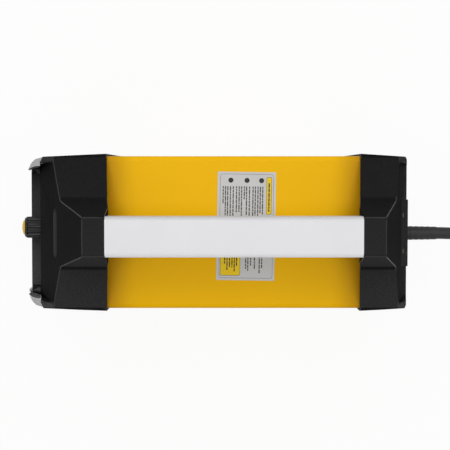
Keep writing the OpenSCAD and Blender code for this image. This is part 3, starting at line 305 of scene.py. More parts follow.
def finish(name, colour, rough, metal=0.0, coat=0.0, coat_rough=0.1, specular=0.5):
    """A shader with its plain values on its own sockets."""
    material = bpy.data.materials.new(name)
    material.use_nodes = True
    fill(bsdf_of(material), {"Base Color": (*colour, 1.0), "Roughness": rough, "Metallic": metal,
                             "Coat Weight": coat, "Coat Roughness": coat_rough, "Specular IOR Level": specular})
    return material


def bsdf_of(material):
    return material.node_tree.nodes["Principled BSDF"]


def node(owner, kind, **settings):
    """A new node in the tree of a material or world."""
    made = owner.node_tree.nodes.new(kind)
    for key, value in settings.items():
        setattr(made, key, value)
    return made


def fill(made, values):
    """Plain values for the sockets of a node."""
    for socket, value in values.items():
        made.inputs[socket].default_value = value


def join(owner, source, target):
    """Feeds a socket from another socket, or with a plain value."""
    if isinstance(source, bpy.types.NodeSocket):
        owner.node_tree.links.new(source, target)
    else:
        target.default_value = (*source, 1) if target.type == "RGBA" else source


def sums(owner, operation, *values):
    """Result of a Math node on one or two values."""
    made = node(owner, "ShaderNodeMath", operation=operation)
    for value, socket in zip(values, made.inputs):
        join(owner, value, socket)
    return made.outputs[0]


def mapped(owner, value, low, high, to_low=0.0, to_high=1.0, ease="LINEAR"):
    """The value's way from low to high, laid on the way from to_low to to_high and held at both ends."""
    made = node(owner, "ShaderNodeMapRange", interpolation_type=ease)
    fill(made, {"From Min": low, "From Max": high, "To Min": to_low, "To Max": to_high})
    join(owner, value, made.inputs["Value"])
    return made.outputs["Result"]


def mixed(owner, share, first, second, blend="MIX"):
    """Two colours, mixed or blended by a share."""
    made = node(owner, "ShaderNodeMix", data_type="RGBA", blend_type=blend)
    join(owner, share, made.inputs["Factor"])
    for colour, socket in zip((first, second), [socket for socket in made.inputs if socket.type == "RGBA"]):
        join(owner, colour, socket)
    return next(out for out in made.outputs if out.type == "RGBA")


def xyz_of(owner, kind, output):
    """The three parts of a node's vector output, by their letters."""
    split = node(owner, "ShaderNodeSeparateXYZ")
    join(owner, node(owner, kind).outputs[output], split.inputs["Vector"])
    return split.outputs


def pattern(material, scale, detail=3.0, rough=0.55, stretch=(1, 1, 1)):
    """Noise over Object coordinates; scale is in cells per metre."""
    mapping = node(material, "ShaderNodeMapping")
    fill(mapping, {"Scale": stretch})
    join(material, node(material, "ShaderNodeTexCoord").outputs["Object"], mapping.inputs["Vector"])
    made = node(material, "ShaderNodeTexNoise")
    fill(made, {"Scale": scale, "Detail": detail, "Roughness": rough})
    join(material, mapping.outputs["Vector"], made.inputs["Vector"])
    return made.outputs["Fac"]


def relief(material, heights, strength=0.5, distance=0.0001):
    """Bump from a list of (height output, share of the strength), laid one after another."""
    normal = None
    for height, share in heights:
        bump = node(material, "ShaderNodeBump")
        fill(bump, {"Strength": strength * share, "Distance": distance})
        join(material, height, bump.inputs["Height"])
        if normal:
            join(material, normal, bump.inputs["Normal"])
        normal = bump.outputs["Normal"]
    join(material, normal, bsdf_of(material).inputs["Normal"])


def mottle(material, colour, spread, factor, low=0.3, high=0.7):
    """Base colour that drifts between two tints with a factor output."""
    ramp = node(material, "ShaderNodeValToRGB")
    for element, place, gain in zip(ramp.color_ramp.elements, (low, high), (1 - spread, 1 + spread)):
        element.position = place
        element.color = (*[min(c * gain, 1.0) for c in colour], 1)
    join(material, factor, ramp.inputs["Fac"])
    join(material, ramp.outputs["Color"], bsdf_of(material).inputs["Base Color"])


def tint(material, share, colour):
    """Multiplies the base colour that is already linked by another, as far as the share goes."""
    base = bsdf_of(material).inputs["Base Color"]
    join(material, mixed(material, share, base.links[0].from_socket, colour, "MULTIPLY"), base)


def gloss_drift(material, low, high, factor):
    """Roughness that drifts between two values with a factor output."""
    join(material, mapped(material, factor, 0, 1, low, high), bsdf_of(material).inputs["Roughness"])


COVER_MIDDLE_Y = 0.0170
SHELLS_MIDDLE_Y = 0.011
# painted shade colour that the cover is multiplied by near the bezels
BEZEL_SHADE = (0.60, 0.52, 0.5)


def enamel(name, colour):
    """Satin stove enamel: orange peel, faint handling marks, a slight drift of tint, and brownish painted shade
    where the two bezels shade the cover: it grows over the last 26 mm before either of them, and on below it."""
    made = finish(name, colour, 0.34, specular=0.08)
    mottle(made, colour, 0.02, pattern(made, 9, 3))
    place = xyz_of(made, "ShaderNodeTexCoord", "Object")
    reach = sums(made, "ABSOLUTE", sums(made, "SUBTRACT", place["Y"], COVER_MIDDLE_Y))
    # painted shade: the base colour darkens towards both bezels
    tint(made, mapped(made, reach, 0.078, 0.110, ease="SMOOTHSTEP"), BEZEL_SHADE)
    gloss_drift(made, 0.30, 0.44, pattern(made, 60, 5, 0.7))
    relief(made, [(pattern(made, 900, 2), 0.35), (pattern(made, 7, 2), 0.25)], 0.3, 0.0003)
    return made


def textured_plastic(name, colour, rough, grain=1500, depth=0.00012, spread=0.18, strength=0.5, specular=0.25):
    """Moulded plastic with a spark-eroded skin: two sizes of grain, patchy sheen."""
    made = finish(name, colour, rough, specular=specular)
    if spread:
        mottle(made, colour, spread, pattern(made, 1000, 3, 0.8), 0.38, 0.62)
    gloss_drift(made, rough - 0.08, rough + 0.08, pattern(made, 120, 4))
    relief(made, [(pattern(made, grain, 3), 1.0), (pattern(made, grain * 0.35, 2), 0.5)], strength, depth)
    return made


def painted_light_by_facing(made, steep_shade, level_light, brow_light):
    """Paints light and shade into a moulded plastic by how far a surface looks up: steep faces take the painted
    shade colour, level ones a lighter painted-light colour, and the brow before the front slope, Y below -147 mm,
    the most painted light. The painted light grows towards the +X side, most of all on the brackets' +X flanks and
    on the flats beside them. The small level pads at the four upper corners and the hump behind the rear slope get
    painted light, and faces that look to the rear get painted shade. Only the fine mottle is the plastic's own tone."""
    look = xyz_of(made, "ShaderNodeNewGeometry", "Normal")
    place = xyz_of(made, "ShaderNodeTexCoord", "Object")
    across = sums(made, "ABSOLUTE", place["X"])
    along = sums(made, "ABSOLUTE", sums(made, "SUBTRACT", place["Y"], SHELLS_MIDDLE_Y))
    # painted light on level faces, strongest on the brow
    level_or_brow_light = mixed(made, mapped(made, place["Y"], -0.1466, -0.1476), level_light, brow_light)
    tone = mixed(made, mapped(made, look["Z"], 0.72, 0.96, ease="SMOOTHSTEP"), steep_shade, level_or_brow_light)
    flats = 0.46, (look["X"], 0.30, 0.44), (look["Z"], 0.76, 0.86)
    flanks = 0.52, (look["X"], 0.90, 0.96), (look["Z"], 0.12, 0.18)
    pads = 0.80, (across, 0.0573, 0.0575), (along, 0.1414, 0.1416), (look["Z"], 0.35, 0.45)
    hump = 0.62, (across, 0.0290, 0.0286), (place["Y"], 0.1562, 0.1572)
    for share_of_brow_light, *bounds in (flats, flanks, pads, hump):
        inside, *others = [mapped(made, *bound) for bound in bounds]
        for other in others:
            inside = sums(made, "MULTIPLY", inside, other)
        tone = mixed(made, inside, tone, [share_of_brow_light * c for c in brow_light])
    # fine random mottle: the plastic's own tone
    gain = mapped(made, pattern(made, 1000, 3, 0.8), 0.38, 0.62, 0.76, 1.24)
    # painted light that grows towards the +X side
    gain = sums(made, "MULTIPLY", gain, mapped(made, place["X"], -0.06, 0.06, 0.9, 1.45))
    # painted shade on faces that look to the rear
    gain = sums(made, "MULTIPLY", gain, mapped(made, look["Y"], 0.5, 0.85, 1.0, 0.72))
    join(made, mixed(made, 1.0, tone, gain, "MULTIPLY"), bsdf_of(made).inputs["Base Color"])
    return made


def smooth_plastic(name, colour, rough=0.3, spread=0.04, coat=0.0):
    """Polished moulding: soft flow lines and a faint ripple."""
    made = finish(name, colour, rough, coat=coat)
    mottle(made, colour, spread, pattern(made, 22, 3))
    gloss_drift(made, rough - 0.05, rough + 0.07, pattern(made, 90, 5, 0.65))
    relief(made, [(pattern(made, 260, 3), 1.0)], 0.15, 0.0001)
    return made


def side_lit_plastic(name, colour, rough, spread, shaded_gain=0.78, lit_gain=1.2):
    """Polished moulding with painted shade on its -X side and painted light on its +X side: the tint grows
    evenly with the normal's X, from the shaded gain at -0.9 to the lit gain at 0.9."""
    made = smooth_plastic(name, colour, rough, spread)
    look = xyz_of(made, "ShaderNodeNewGeometry", "Normal")
    # painted light and shade by the normal's X
    tint(made, 1.0, mapped(made, look["X"], -0.9, 0.9, shaded_gain, lit_gain))
    return made


def lacquered_silver(name, colour):
    """Silver lacquer: metal flakes as fine cells under a clear coat."""
    made = finish(name, colour, 0.36, metal=0.55, coat=0.3, coat_rough=0.15)
    mottle(made, colour, 0.12, pattern(made, 2400, 2, 0.8), 0.4, 0.6)
    relief(made, [(pattern(made, 1800, 2), 1.0)], 0.2, 0.00005)
    return made


def plated(name, colour, rough=0.3, brushed=(1, 1, 1)):
    """Plated or rolled metal: fine streaks and blotches of sheen."""
    made = finish(name, colour, rough, metal=1.0)
    mottle(made, colour, 0.07, pattern(made, 240, 4, stretch=brushed))
    gloss_drift(made, rough - 0.08, rough + 0.12, pattern(made, 700, 4, 0.7, stretch=brushed))
    relief(made, [(pattern(made, 1600, 3, stretch=brushed), 1.0)], 0.15, 0.00005)
    return made


def rubber(name, colour, rough=0.62):
    """Vulcanised rubber: dull, slightly dusty, with a fine skin."""
    made = finish(name, colour, rough, specular=0.3)
    mottle(made, colour, 0.3, pattern(made, 60, 5))
    gloss_drift(made, rough - 0.1, rough + 0.1, pattern(made, 160, 5, 0.7))
    relief(made, [(pattern(made, 1300, 3), 1.0)], 0.3, 0.0001)
    return made


def film(name, colour):
    """Printed film: satin, with a faint ripple of the glue below."""
    made = finish(name, colour, 0.42, specular=0.2)
    mottle(made, colour, 0.02, pattern(made, 40, 3))
    gloss_drift(made, 0.36, 0.5, pattern(made, 150, 3))
    relief(made, [(pattern(made, 90, 2), 1.0)], 0.1, 0.0002)
    return made


FINISHES = {
    "cover_paint": enamel("yellow_enamel", (0.925, 0.508, 0.0)),
    # bezels: painted shade on steep faces, painted light on level faces and the brow
    "bezel_plastic": painted_light_by_facing(textured_plastic("bezel_plastic", (0.0185, 0.0185, 0.019), 0.8, spread=0, specular=0.012),
                            steep_shade=(0.0100, 0.0100, 0.0103), level_light=(0.0190, 0.0190, 0.0195),
                            brow_light=(0.050, 0.050, 0.0515)),
    "handle_plastic": side_lit_plastic("handle_plastic", (0.76, 0.76, 0.775), 0.38, 0.02),
    "guard_silver": lacquered_silver("guard_silver", (0.36, 0.362, 0.366)),
    "zinc": plated("yellow_zinc", (0.13, 0.108, 0.075), 0.4),
    "steel": plated("bright_zinc", (0.62, 0.63, 0.64), 0.3),
    "galvanised": plated("galvanised_sheet", (0.45, 0.46, 0.47), 0.42, (1, 0.15, 1)),
    "sticker": film("sticker_film", (0.60, 0.60, 0.60)),
    "panel_plastic": textured_plastic("panel_plastic", (0.03, 0.031, 0.034), 0.5, 2200, 0.00006),
    "window_plastic": smooth_plastic("window_plastic", (0.006, 0.008, 0.010), 0.08, 0.05, coat=0.5),
    "module_plastic": smooth_plastic("module_plastic", (0.05, 0.05, 0.055), 0.45),
    "board": smooth_plastic("board_laminate", (0.012, 0.10, 0.035), 0.35, 0.2),
    "white_plastic": smooth_plastic("white_plastic", (0.70, 0.70, 0.68), 0.35),
    "black_gloss": smooth_plastic("black_moulding", (0.012, 0.012, 0.013), 0.22, 0.15),
    "knob_plastic": textured_plastic("knob_plastic", (0.014, 0.014, 0.015), 0.36, 2600, 0.00003, strength=0.3),
    "yellow_plastic": smooth_plastic("yellow_moulding", (0.86, 0.50, 0.003), 0.5, 0.03),
    "red_plastic": smooth_plastic("red_moulding", (0.46, 0.012, 0.01), 0.28, 0.06),
    "lamp_green": smooth_plastic("lamp_green", (0.10, 0.45, 0.08), 0.15, 0.05),
    "ribbon": smooth_plastic("ribbon_cable", (0.30, 0.31, 0.33), 0.45),
    "brass": plated("machined_brass", (0.72, 0.52, 0.22), 0.26),
    "copper": plated("bare_copper", (0.72, 0.36, 0.20), 0.32),
    "rear_paint": textured_plastic("rear_powder_coat", (0.022, 0.022, 0.024), 0.5, 1100, 0.00015),
    "fan_plastic": smooth_plastic("fan_plastic", (0.02, 0.02, 0.021), 0.4, 0.15),
    "aluminium": plated("extruded_aluminium", (0.72, 0.73, 0.75), 0.35, (1, 0.1, 1)),
    "ferrite": textured_plastic("core_and_tape", (0.16, 0.12, 0.07), 0.55, 700, 0.0002),
    "capacitor_sleeve": smooth_plastic("capacitor_sleeve", (0.02, 0.03, 0.10), 0.3),
    "foot_rubber": rubber("foot_rubber", (0.014, 0.014, 0.014)),
    "cord_rubber": rubber("cord_rubber", (0.018, 0.018, 0.0185), 0.5),
}
# rounded bezel edges: a lighter plastic, partly edge wear and partly a painted highlight along the rounds
WORN_LIT_EDGE_PLASTIC = textured_plastic("worn_edge_painted_highlight", (0.029, 0.0293, 0.030), 0.45, 2600, 0.00004, specular=0.15)
# lighter plastic for the slot's floor strip: painted light where the floor is lit
SLOT_LIGHT_PLASTIC = textured_plastic("slot_floor_painted_light", (0.040, 0.0405, 0.042), 0.6, 1800, 0.00008, specular=0.1)
INK = film("dark_ink", (0.022, 0.022, 0.025))
GREY_INK = film("grey_ink", (0.05, 0.05, 0.053))
LABEL_YELLOW = film("label_yellow", (0.86, 0.60, 0.004))
PRINT_WHITE = film("white_print", (0.62, 0.62, 0.60))
GLOW = finish("digit_glow", (0.5, 0.02, 0.01), 0.3)
fill(bsdf_of(GLOW), {"Emission Color": (1.0, 0.06, 0.02, 1), "Emission Strength": 0.7})


def dress_nodes():
    """Every frame node takes the finish of its slot."""
    slots = {part["node"]: part["material_slot"] for part in frame["record"]["subparts"]}
    for name, piece in frame["nodes"].items():
        piece.data.materials.clear()
        piece.data.materials.append(FINISHES[slots[name]])


dress_nodes()

# -------- mouldings with round edges


def roomy(edge, room):
    """Whether the neighbours at both ends of an edge are longer than room and turn well away from it."""
    for end in edge.verts:
        way = edge.other_vert(end).co - end.co
        for other in end.link_edges:
            if other.calc_length() < room:
                return False
            if other != edge and way.angle(other.other_vert(end).co - end.co) < math.radians(30):
                return False
    return True


def rounded_copy(name, source, width, sharp=28.0, segments=3, shortest=2.5, edge_finish=None, room=None):
    """Merged copy of a frame node whose longer edges are rounded over by width (mm). The rounds take the
    edge finish where one is given. Where room is given, only those outer edges are taken whose neighbours at
    both ends are longer than room (mm), and they get their full width."""
    mesh = frame["nodes"][source].data.copy()
    mesh.name = name
    if edge_finish:
        mesh.materials.append(edge_finish)
    form = bmesh.new()
    form.from_mesh(mesh)
    bmesh.ops.remove_doubles(form, verts=form.verts, dist=2e-6)
    bmesh.ops.dissolve_limit(form, angle_limit=math.radians(0.5), verts=form.verts, edges=form.edges)
    picked = [edge for edge in form.edges
              if len(edge.link_faces) == 2
              and edge.calc_face_angle(0) > math.radians(sharp)
              and edge.calc_length() > shortest * MM
              and (not room or edge.calc_face_angle_signed(0) > 0 and roomy(edge, room * MM))]
    bmesh.ops.bevel(form, geom=picked, offset=width * MM, segments=segments, profile=0.5, affect="EDGES",
                    clamp_overlap=not room, material=1 if edge_finish else -1)
    bmesh.ops.triangulate(form, faces=[face for face in form.faces if len(face.verts) > 4])
    form.to_mesh(mesh)
    form.free()
    body = next(body for body, nodes in frame["record"]["behaviour"]["bodies"].items() if source in nodes)
    piece = settle(name, mesh, body, (source,), sharp=180)
    weighted = piece.modifiers.new("flat_faces", "WEIGHTED_NORMAL")
    weighted.mode = "FACE_AREA"
    weighted.weight = 100
    return piece


# -------- room


FLOOR_HALF, FLOOR_Z = 4.0, -0.0002


def studio():
    """Pale floor, a large soft lamp on the picture's upper side and a weaker one opposite."""
    corners = [(x * FLOOR_HALF, y * FLOOR_HALF, FLOOR_Z) for x, y in ((-1, -1), (1, -1), (1, 1), (-1, 1))]
    mesh = bpy.data.meshes.new("floor")
    mesh.from_pydata(corners, [], [[0, 1, 2, 3]])
    floor = placed("floor", mesh)
    mesh.materials.append(floor_finish())
    soft_lamp("overhead_lamp", (-0.6, 0.0, 1.8), 1.8, 19.5)
    soft_lamp("fill_lamp", (1.3, 0.5, 1.6), 1.3, 2.0)


def floor_finish():
    """Nearly white to the camera and in reflections with a trace of the shadow, and a plain diffuse floor
    for the light that it throws back."""
    material = finish("pale_floor", (0.90, 0.90, 0.90), 0.9, specular=0.1)
    blend = node(material, "ShaderNodeMixShader")
    join(material, mapped(material, seen_rays(material), 0, 1, 0, 0.93), blend.inputs["Fac"])
    join(material, bsdf_of(material).outputs["BSDF"], blend.inputs[1])
    join(material, node(material, "ShaderNodeEmission").outputs["Emission"], blend.inputs[2])
    join(material, blend.outputs["Shader"], material.node_tree.nodes["Material Output"].inputs["Surface"])
    return material


def seen_rays(owner):
    """One for camera, glossy and transmission rays, nought for the rest."""
    rays = node(owner, "ShaderNodeLightPath").outputs
    level = rays["Is Camera Ray"]
    for kind in ("Is Glossy Ray", "Is Transmission Ray"):
        level = sums(owner, "MAXIMUM", level, rays[kind])
    return level


def soft_lamp(name, place, size, power):
    """Square lamp that looks at the charger's middle."""
    data = bpy.data.lights.new(name, "AREA")
    data.energy = power
    data.size = size
    lamp = placed(name, data)
    lamp.location = place
    lamp.rotation_euler = (Vector((0, 0, 0.12)) - Vector(place)).to_track_quat("-Z", "Y").to_euler()


def pale_world():
    """White seen directly, a moderate even light otherwise."""
    world = bpy.data.worlds.new("pale_world")
    bpy.context.scene.world = world
    world.use_nodes = True
    back = world.node_tree.nodes["Background"]
    fill(back, {"Color": (1, 1, 1, 1)})
    join(world, mapped(world, seen_rays(world), 0, 1, 0.42, 1.0), back.inputs["Strength"])


studio()
pale_world()
bpy.context.scene.view_settings.view_transform = "Standard"

# -------- cord, boot, plug and tie

cord = mesh_piece("cord", [swept(LINE, CORD_D / 2, 20)], FINISHES["cord_rubber"],
                  replaces=("cord_run", "cord_coil"))


def cord_boot():
    """Tapered boot: the radius falls along its length and swells at each rib."""
    (_, front, _), (_, back, _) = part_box("strain_relief")
    length = (back - front) / MM
    h = np.linspace(0, length, 90)
    taper = 6.1 - 0.5 * h / length
    rib = 0.13 * np.clip(np.sin(2 * math.pi * (h - 1.5) / 5.0), -0.5, 1) * (h > 1.5) * (h < length - 3)
    profile = np.stack([taper + rib, h], 1)
    profile = np.concatenate([[[5.25, 0]], profile, [[5.25, length]], [[5.25, 0]]])
    middle = (3.5 * MM, front, 109.5 * MM)
    return mesh_piece("cord_boot", [lathe(profile, middle, (0, 1, 0))], FINISHES["cord_rubber"],
                      replaces=("strain_relief",))


boot = cord_boot()


def mains_plug():
    """Grip of revolution with finger ribs, two round-ended pins, and side clips in metal."""
    low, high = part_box("mains_plug")
    middle = np.array([high[0] - 24 * MM, (low[1] + high[1]) / 2, (low[2] + high[2]) / 2])
    axis = (-1, 0, 0)
    profile = rounded_profile([(0, -24), (6.4, -24), (6.8, -20), (8.8, -3), (15.5, 1.5), (17, 7), (16.6, 24),
                               (17, 36), (0, 36)], 2.2)
    grip = lathe(profile, middle, axis, sides=72,
                 swell=lambda h, a: 1 - 0.028 * (np.cos(12 * a) > 0.1) * (h > 9) * (h < 26))
    ribs = [swept(circle((6.9 + 0.28 * k) * MM, middle + [(19 - 4 * k) * MM, 0, 0], axis), 0.7 * MM, 10, True)
            for k in range(4)]
    pins = [lathe(rounded_profile([(0, 35), (2.4, 35), (2.4, 55), (0, 55)], 1.6),
                  middle + [0, y * MM, 0], axis, sides=32) for y in (-9.5, 9.5)]
    clips = [(*slab((5, 16, 0.7), middle + [-24 * MM, 0, 16.45 * k * MM], (0, 0, k), (-1, 0, 0)), 1)
             for k in (-1, 1)]
    parts = [grip, *ribs, *clips, *[(*pin, 1) for pin in pins]]
    return mesh_piece("plug", parts, [FINISHES["cord_rubber"], FINISHES["steel"]], replaces=("mains_plug",))


plug = mains_plug()


def cord_tie():
    """Flat hook-and-loop band round the bundle: the loop half * sign(cos a) * |cos a| ** 0.35, with the sine
    likewise for its height, as a ribbon 14 mm wide and 0.7 mm thick."""
    a = np.linspace(0, 2 * math.pi, 48, endpoint=False)
    half = COIL_PITCH + 0.6
    x = half * np.sign(np.cos(a)) * np.abs(np.cos(a)) ** 0.35
    z = half * np.sign(np.sin(a)) * np.abs(np.sin(a)) ** 0.35
    middle_x, middle_y, middle_z = COIL_PLACE[0] - COIL_R, COIL_PLACE[1] - 8, COIL_LOW + COIL_PITCH / 2
    rows = []
    for thick, y in [(0.7, -7), (0.7, 7), (0, 7), (0, -7)]:
        k = (half + thick) / half
        heights = np.maximum(middle_z + k * z, 0.02)
        rows.append(np.stack([middle_x + k * x, np.full_like(x, middle_y + y), heights], 1))
    return mesh_piece("cord_tie_band", [sheet_of(np.array(rows) * MM, True, True)], FINISHES["foot_rubber"])


tie = cord_tie()

# -------- shells

rounded_copy("front_shell", "front_bezel", 0.6, edge_finish=WORN_LIT_EDGE_PLASTIC, room=1.4)
rounded_copy("rear_shell", "rear_bezel", 0.6, edge_finish=WORN_LIT_EDGE_PLASTIC, room=1.4)
rounded_copy("handle_grip", "handle_bar", 0.6, sharp=60)


def guard_blade(side):
    """Guard whose outer corner is drawn in near its top. With d = 0.70 |x| + 0.71 (-y) in millimetres, what d
    has over 145.4 is halved, growing in from z = 128 to z = 140."""
    across, ahead, reach = 0.70, 0.71, 145.4
    blade = rounded_copy(f"{side}_guard", f"guard_{side}", 0.8, sharp=25, shortest=0.8)
    spots = np.empty(3 * len(blade.data.vertices))
    blade.data.vertices.foreach_get("co", spots)
    x, y, z = spots.reshape(-1, 3).T
    over = np.maximum((across * np.abs(x) - ahead * y) / MM - reach, 0)
    over *= 0.5 * MM * smooth_step((z / MM - 128) / 12)
    x -= across * np.sign(x) * over
    y += ahead * over
    blade.data.vertices.foreach_set("co", spots)
    blade.data.update()


guard_blade("left")
guard_blade("right")
for source, width in {"mode_button": 0.7, "start_button": 0.7, "rubber_feet": 1.0, "cord_gland": 0.7,
                      "fuse_cap": 0.6, "fuse_holder": 0.5, "switch_frame": 0.6, "switch_rocker": 0.6,
                      "display_window": 0.35, "control_panel": 0.4, "positive_ring": 0.4,
                      "negative_ring": 0.4, "positive_socket": 0.8, "negative_socket": 0.8,
                      "socket_contacts": 0.5, "fan_frame": 0.4, "status_lamps": 0.5}.items():
    rounded_copy(f"{source}_finished", source, width, sharp=35, segments=2, shortest=0.15)


def guard_corners():
    """Wedges that close the guards' upper ends against the steep corner faces of the bezel. Each is a loft of
    one four-cornered outline: its back follows the face, y = -147.15 + 0.15 (z - 141), and its top lies in
    the plane z = 169.44 + 0.318 (y + 140) of the guard's own end."""
    parts = []
    for side in (-1, 1):
        rows = []
        for level, back in ((143.2, -146.82), (155.0, -145.05), (None, -143.0)):
            spots = np.array([(54.7, -147.9), (59.1, -147.7), (59.1, back), (54.95, back)])
            heights = np.full(4, level) if level else 169.44 + 0.318 * (spots[:, 1] + 140)
            rows.append(np.column_stack([side * spots[:, 0], spots[:, 1], heights]))
        parts.append(sheet_of(capped(np.array(rows) * MM), False, True))
    mesh_piece("guard_corners", parts, FINISHES["guard_silver"], sharp=20)


guard_corners()


def slot_floor():
    """Smooth strip on the lower half of the slot's wall, in a lighter plastic that paints the light on the slot's
    floor.
    Across: the lower outline of a rounded slot of 40 x 10 mm, from one end over the floor to the other. Along Y: from
    0.25 mm behind the slope's face, y = -147 + 0.4472 (z - 141), to the back of the slot. The strip is 0.3 mm thick."""
    half, radius, low, back_y = 20.0, 4.7, 175.44, -126.98
    flat = half - radius
    a = np.linspace(math.pi, 1.5 * math.pi, 12)
    left = np.stack([-flat + radius * np.cos(a), low + radius + radius * np.sin(a)], 1)
    line = np.concatenate([left, np.linspace([-flat, low], [flat, low], 14)[1:-1], left[::-1] * [-1, 1]])
    inward = np.array([0, low + radius]) - line
    x = line[:, 0]
    inward[:, 0] = -np.sign(x) * np.maximum(np.abs(x) - flat, 0)
    inward /= np.linalg.norm(inward, axis=1)[:, None]
    rows = []
    for depth, back in ((0.03, False), (0.33, False), (0.33, True), (0.03, True)):
        x, z = (line + depth * inward).T
        rows.append(np.stack([x, np.full_like(x, back_y) if back else -146.75 + (z - 141.0) * 0.4472, z], 1))
    mesh_piece("slot_floor", [sheet_of(capped(np.array(rows) * MM, 1), True, False)], SLOT_LIGHT_PLASTIC)


slot_floor()


def louvre_fins():
    """Fins pressed inwards behind the cover's slots: from the wall above a slot each bends in and down as a
    quarter ellipse, depth * sin(a) inwards and drop * (1 - cos a) downwards, and the depth dies away towards
    both ends of the slot as (1 - 0.98 u^8)^(1/2)."""
    wall, depth, drop, thick, half_long = 61.85, 4.0, 4.4, 0.7, 17.2
    u = np.linspace(-1, 1, 17)
    swell = np.sqrt(1 - 0.98 * u ** 8)
    bends = np.linspace(0, math.pi / 2, 7)
    section = [(a, 0.0) for a in bends] + [(a, thick) for a in bends[::-1]]
    parts = []
    for side in (-1, 1):
        for middle in (-40.4, 74.4):
            for top in 125.5 - 8.0 * np.arange(9):
                rows = np.array([np.column_stack([side * (wall - (depth - thin) * math.sin(a) * swell),
                                                  middle + half_long * u,
                                                  top - thin - (drop - thin) * (1 - math.cos(a)) * swell])
                                 for a, thin in section])
                parts.append(sheet_of(capped(rows * MM, 1), True, False))
    mesh_piece("louvre_fins", parts, FINISHES["cover_paint"])


louvre_fins()

# -------- label

LABEL_MIDDLE = np.array([-5.2, 27.4, 172.25])
LABEL_TURN = math.radians(-0.95)
LABEL_LONG, LABEL_WIDE = 89.6, 48.1


def on_label(a, b):
    """A place on the label: a runs down the label from its head, b across it."""
    c, s = math.cos(LABEL_TURN), math.sin(LABEL_TURN)
    x, y = a - LABEL_LONG / 2, b - LABEL_WIDE / 2
    return np.stack([LABEL_MIDDLE[0] + c * x - s * y, LABEL_MIDDLE[1] + s * x + c * y], -1)


def prints(outlines, thick, finish_number, lift=0.0):
    """Flat printed shapes: each outline of (a, b) points becomes a closed sliver of the given thickness."""
    parts = []
    for outline in outlines:
        flat = on_label(*np.array(outline, float).T)
        rings = [np.column_stack([flat, np.full(len(flat), LABEL_MIDDLE[2] + lift + z)]) for z in (0.0, thick)]
        parts.append((*sheet_of(capped(np.array(rings) * MM), False, True), finish_number))
    return parts


def block(a0, b0, a1, b1, round_off=0.0):
    """Rectangle from (a0, b0) to (a1, b1), its corners cut to short arcs where round_off is given."""
    if not round_off:
        return [(a0, b0), (a1, b0), (a1, b1), (a0, b1)]
    t = np.linspace(0, math.pi / 2, 5)
    out = []
    for a, b, start in ((a1, b1, 0), (a0, b1, 1), (a0, b0, 2), (a1, b0, 3)):
        angle = t + start * math.pi / 2
        middle_a = a - math.copysign(round_off, a - (a0 + a1) / 2)
        middle_b = b - math.copysign(round_off, b - (b0 + b1) / 2)
        out += list(zip(middle_a + round_off * np.cos(angle), middle_b + round_off * np.sin(angle)))
    return out


def text_rows(rng, first, rows, thick=0.95):
    """Rows of plain word-long blocks that stand for small print: from a = first, rows hold (b, last a)."""
    out = []
    for b, last in rows:
        a = first
        while a < last - 0.8:
            word = min(rng.uniform(1.4, 4.6), last - a)
            out.append(block(a, b - thick / 2, a + word, b + thick / 2))
            a += word + 0.5
    return out


def frame_line(a0, b0, a1, b1, radius, width):
    """Closed line of the given width along a rounded rectangle, as a ring of outer and inner points."""
    outer = np.array(block(a0, b0, a1, b1, radius))
    inner = np.array(block(a0 + width, b0 + width, a1 - width, b1 - width, radius - width))
    rings = [np.column_stack([on_label(*ring.T), np.full(len(ring), LABEL_MIDDLE[2] + z)])
             for ring, z in ((outer, 0.0), (outer, 0.035), (inner, 0.035), (inner, 0.0))]
    return [(*sheet_of(np.array(rings) * MM, True, True), 0)]


def label_print():
    """Generic print: a frame line, three plain round marks, columns of small blocks and two yellow fields."""
    rng = np.random.default_rng(11)
    upper = ((37.3, 35.8), (35.3, 34.5), (33.4, 36.4), (31.2, 37.0), (29.3, 37.0), (26.4, 37.2), (24.0, 35.8),
             (22.1, 22.6), (19.9, 37.2), (17.9, 33.2), (15.7, 33.4), (13.0, 37.2), (10.7, 37.2), (8.5, 37.2),
             (6.6, 37.2), (4.7, 26.2))
    lower = ((24.2, 80.5), (26.0, 82.4), (28.3, 77.3), (31.4, 80.5), (35.4, 83.6), (37.4, 79.6))
    boxed = ((6.8, 76.0), (8.8, 82.0), (10.8, 79.5), (12.9, 79.0), (14.8, 83.6), (16.7, 77.6))
    t = np.linspace(0, 2 * math.pi, 25)[:-1]
    marks = [np.column_stack([7.0 + 2.1 * np.cos(t), b + 2.1 * np.sin(t)]) for b in (10.9, 24.2, 36.2)]
    heavy = [block(4.1, 40.4, 34.8, 44.7, 0.8), block(57.0, 3.1, 85.8, 19.6, 1.4)]
    fields = [block(4.4, 40.7, 34.5, 44.4, 0.7), block(57.3, 3.4, 85.5, 19.3, 1.2)]
    parts = frame_line(1.85, 2.1, LABEL_LONG - 1.8, LABEL_WIDE - 1.8, 2.2, 0.22)
    parts += prints(text_rows(rng, 12.0, upper) + text_rows(rng, 60.0, lower), 0.035, 0)
    parts += prints(heavy + marks, 0.035, 1) + prints(fields, 0.03, 2, 0.03)
    parts += prints(text_rows(rng, 60.0, boxed) + text_rows(rng, 9.0, [(42.55, 32.5)], 1.1), 0.03, 1, 0.055)
    mesh_piece("label_print", parts, [GREY_INK, INK, LABEL_YELLOW])


label_print()

# -------- control panel

PANEL_LEAN = math.radians(8)
PANEL_OUT = np.array([0, -math.cos(PANEL_LEAN), math.sin(PANEL_LEAN)])
PANEL_UP = np.array([0, math.sin(PANEL_LEAN), math.cos(PANEL_LEAN)])
PANEL_MIDDLE = np.array([0, -144.081, 121.209])


def on_panel(x, up, out=0.0):
    return (PANEL_MIDDLE + np.array([x, 0, 0]) + up * PANEL_UP + out * PANEL_OUT) * MM


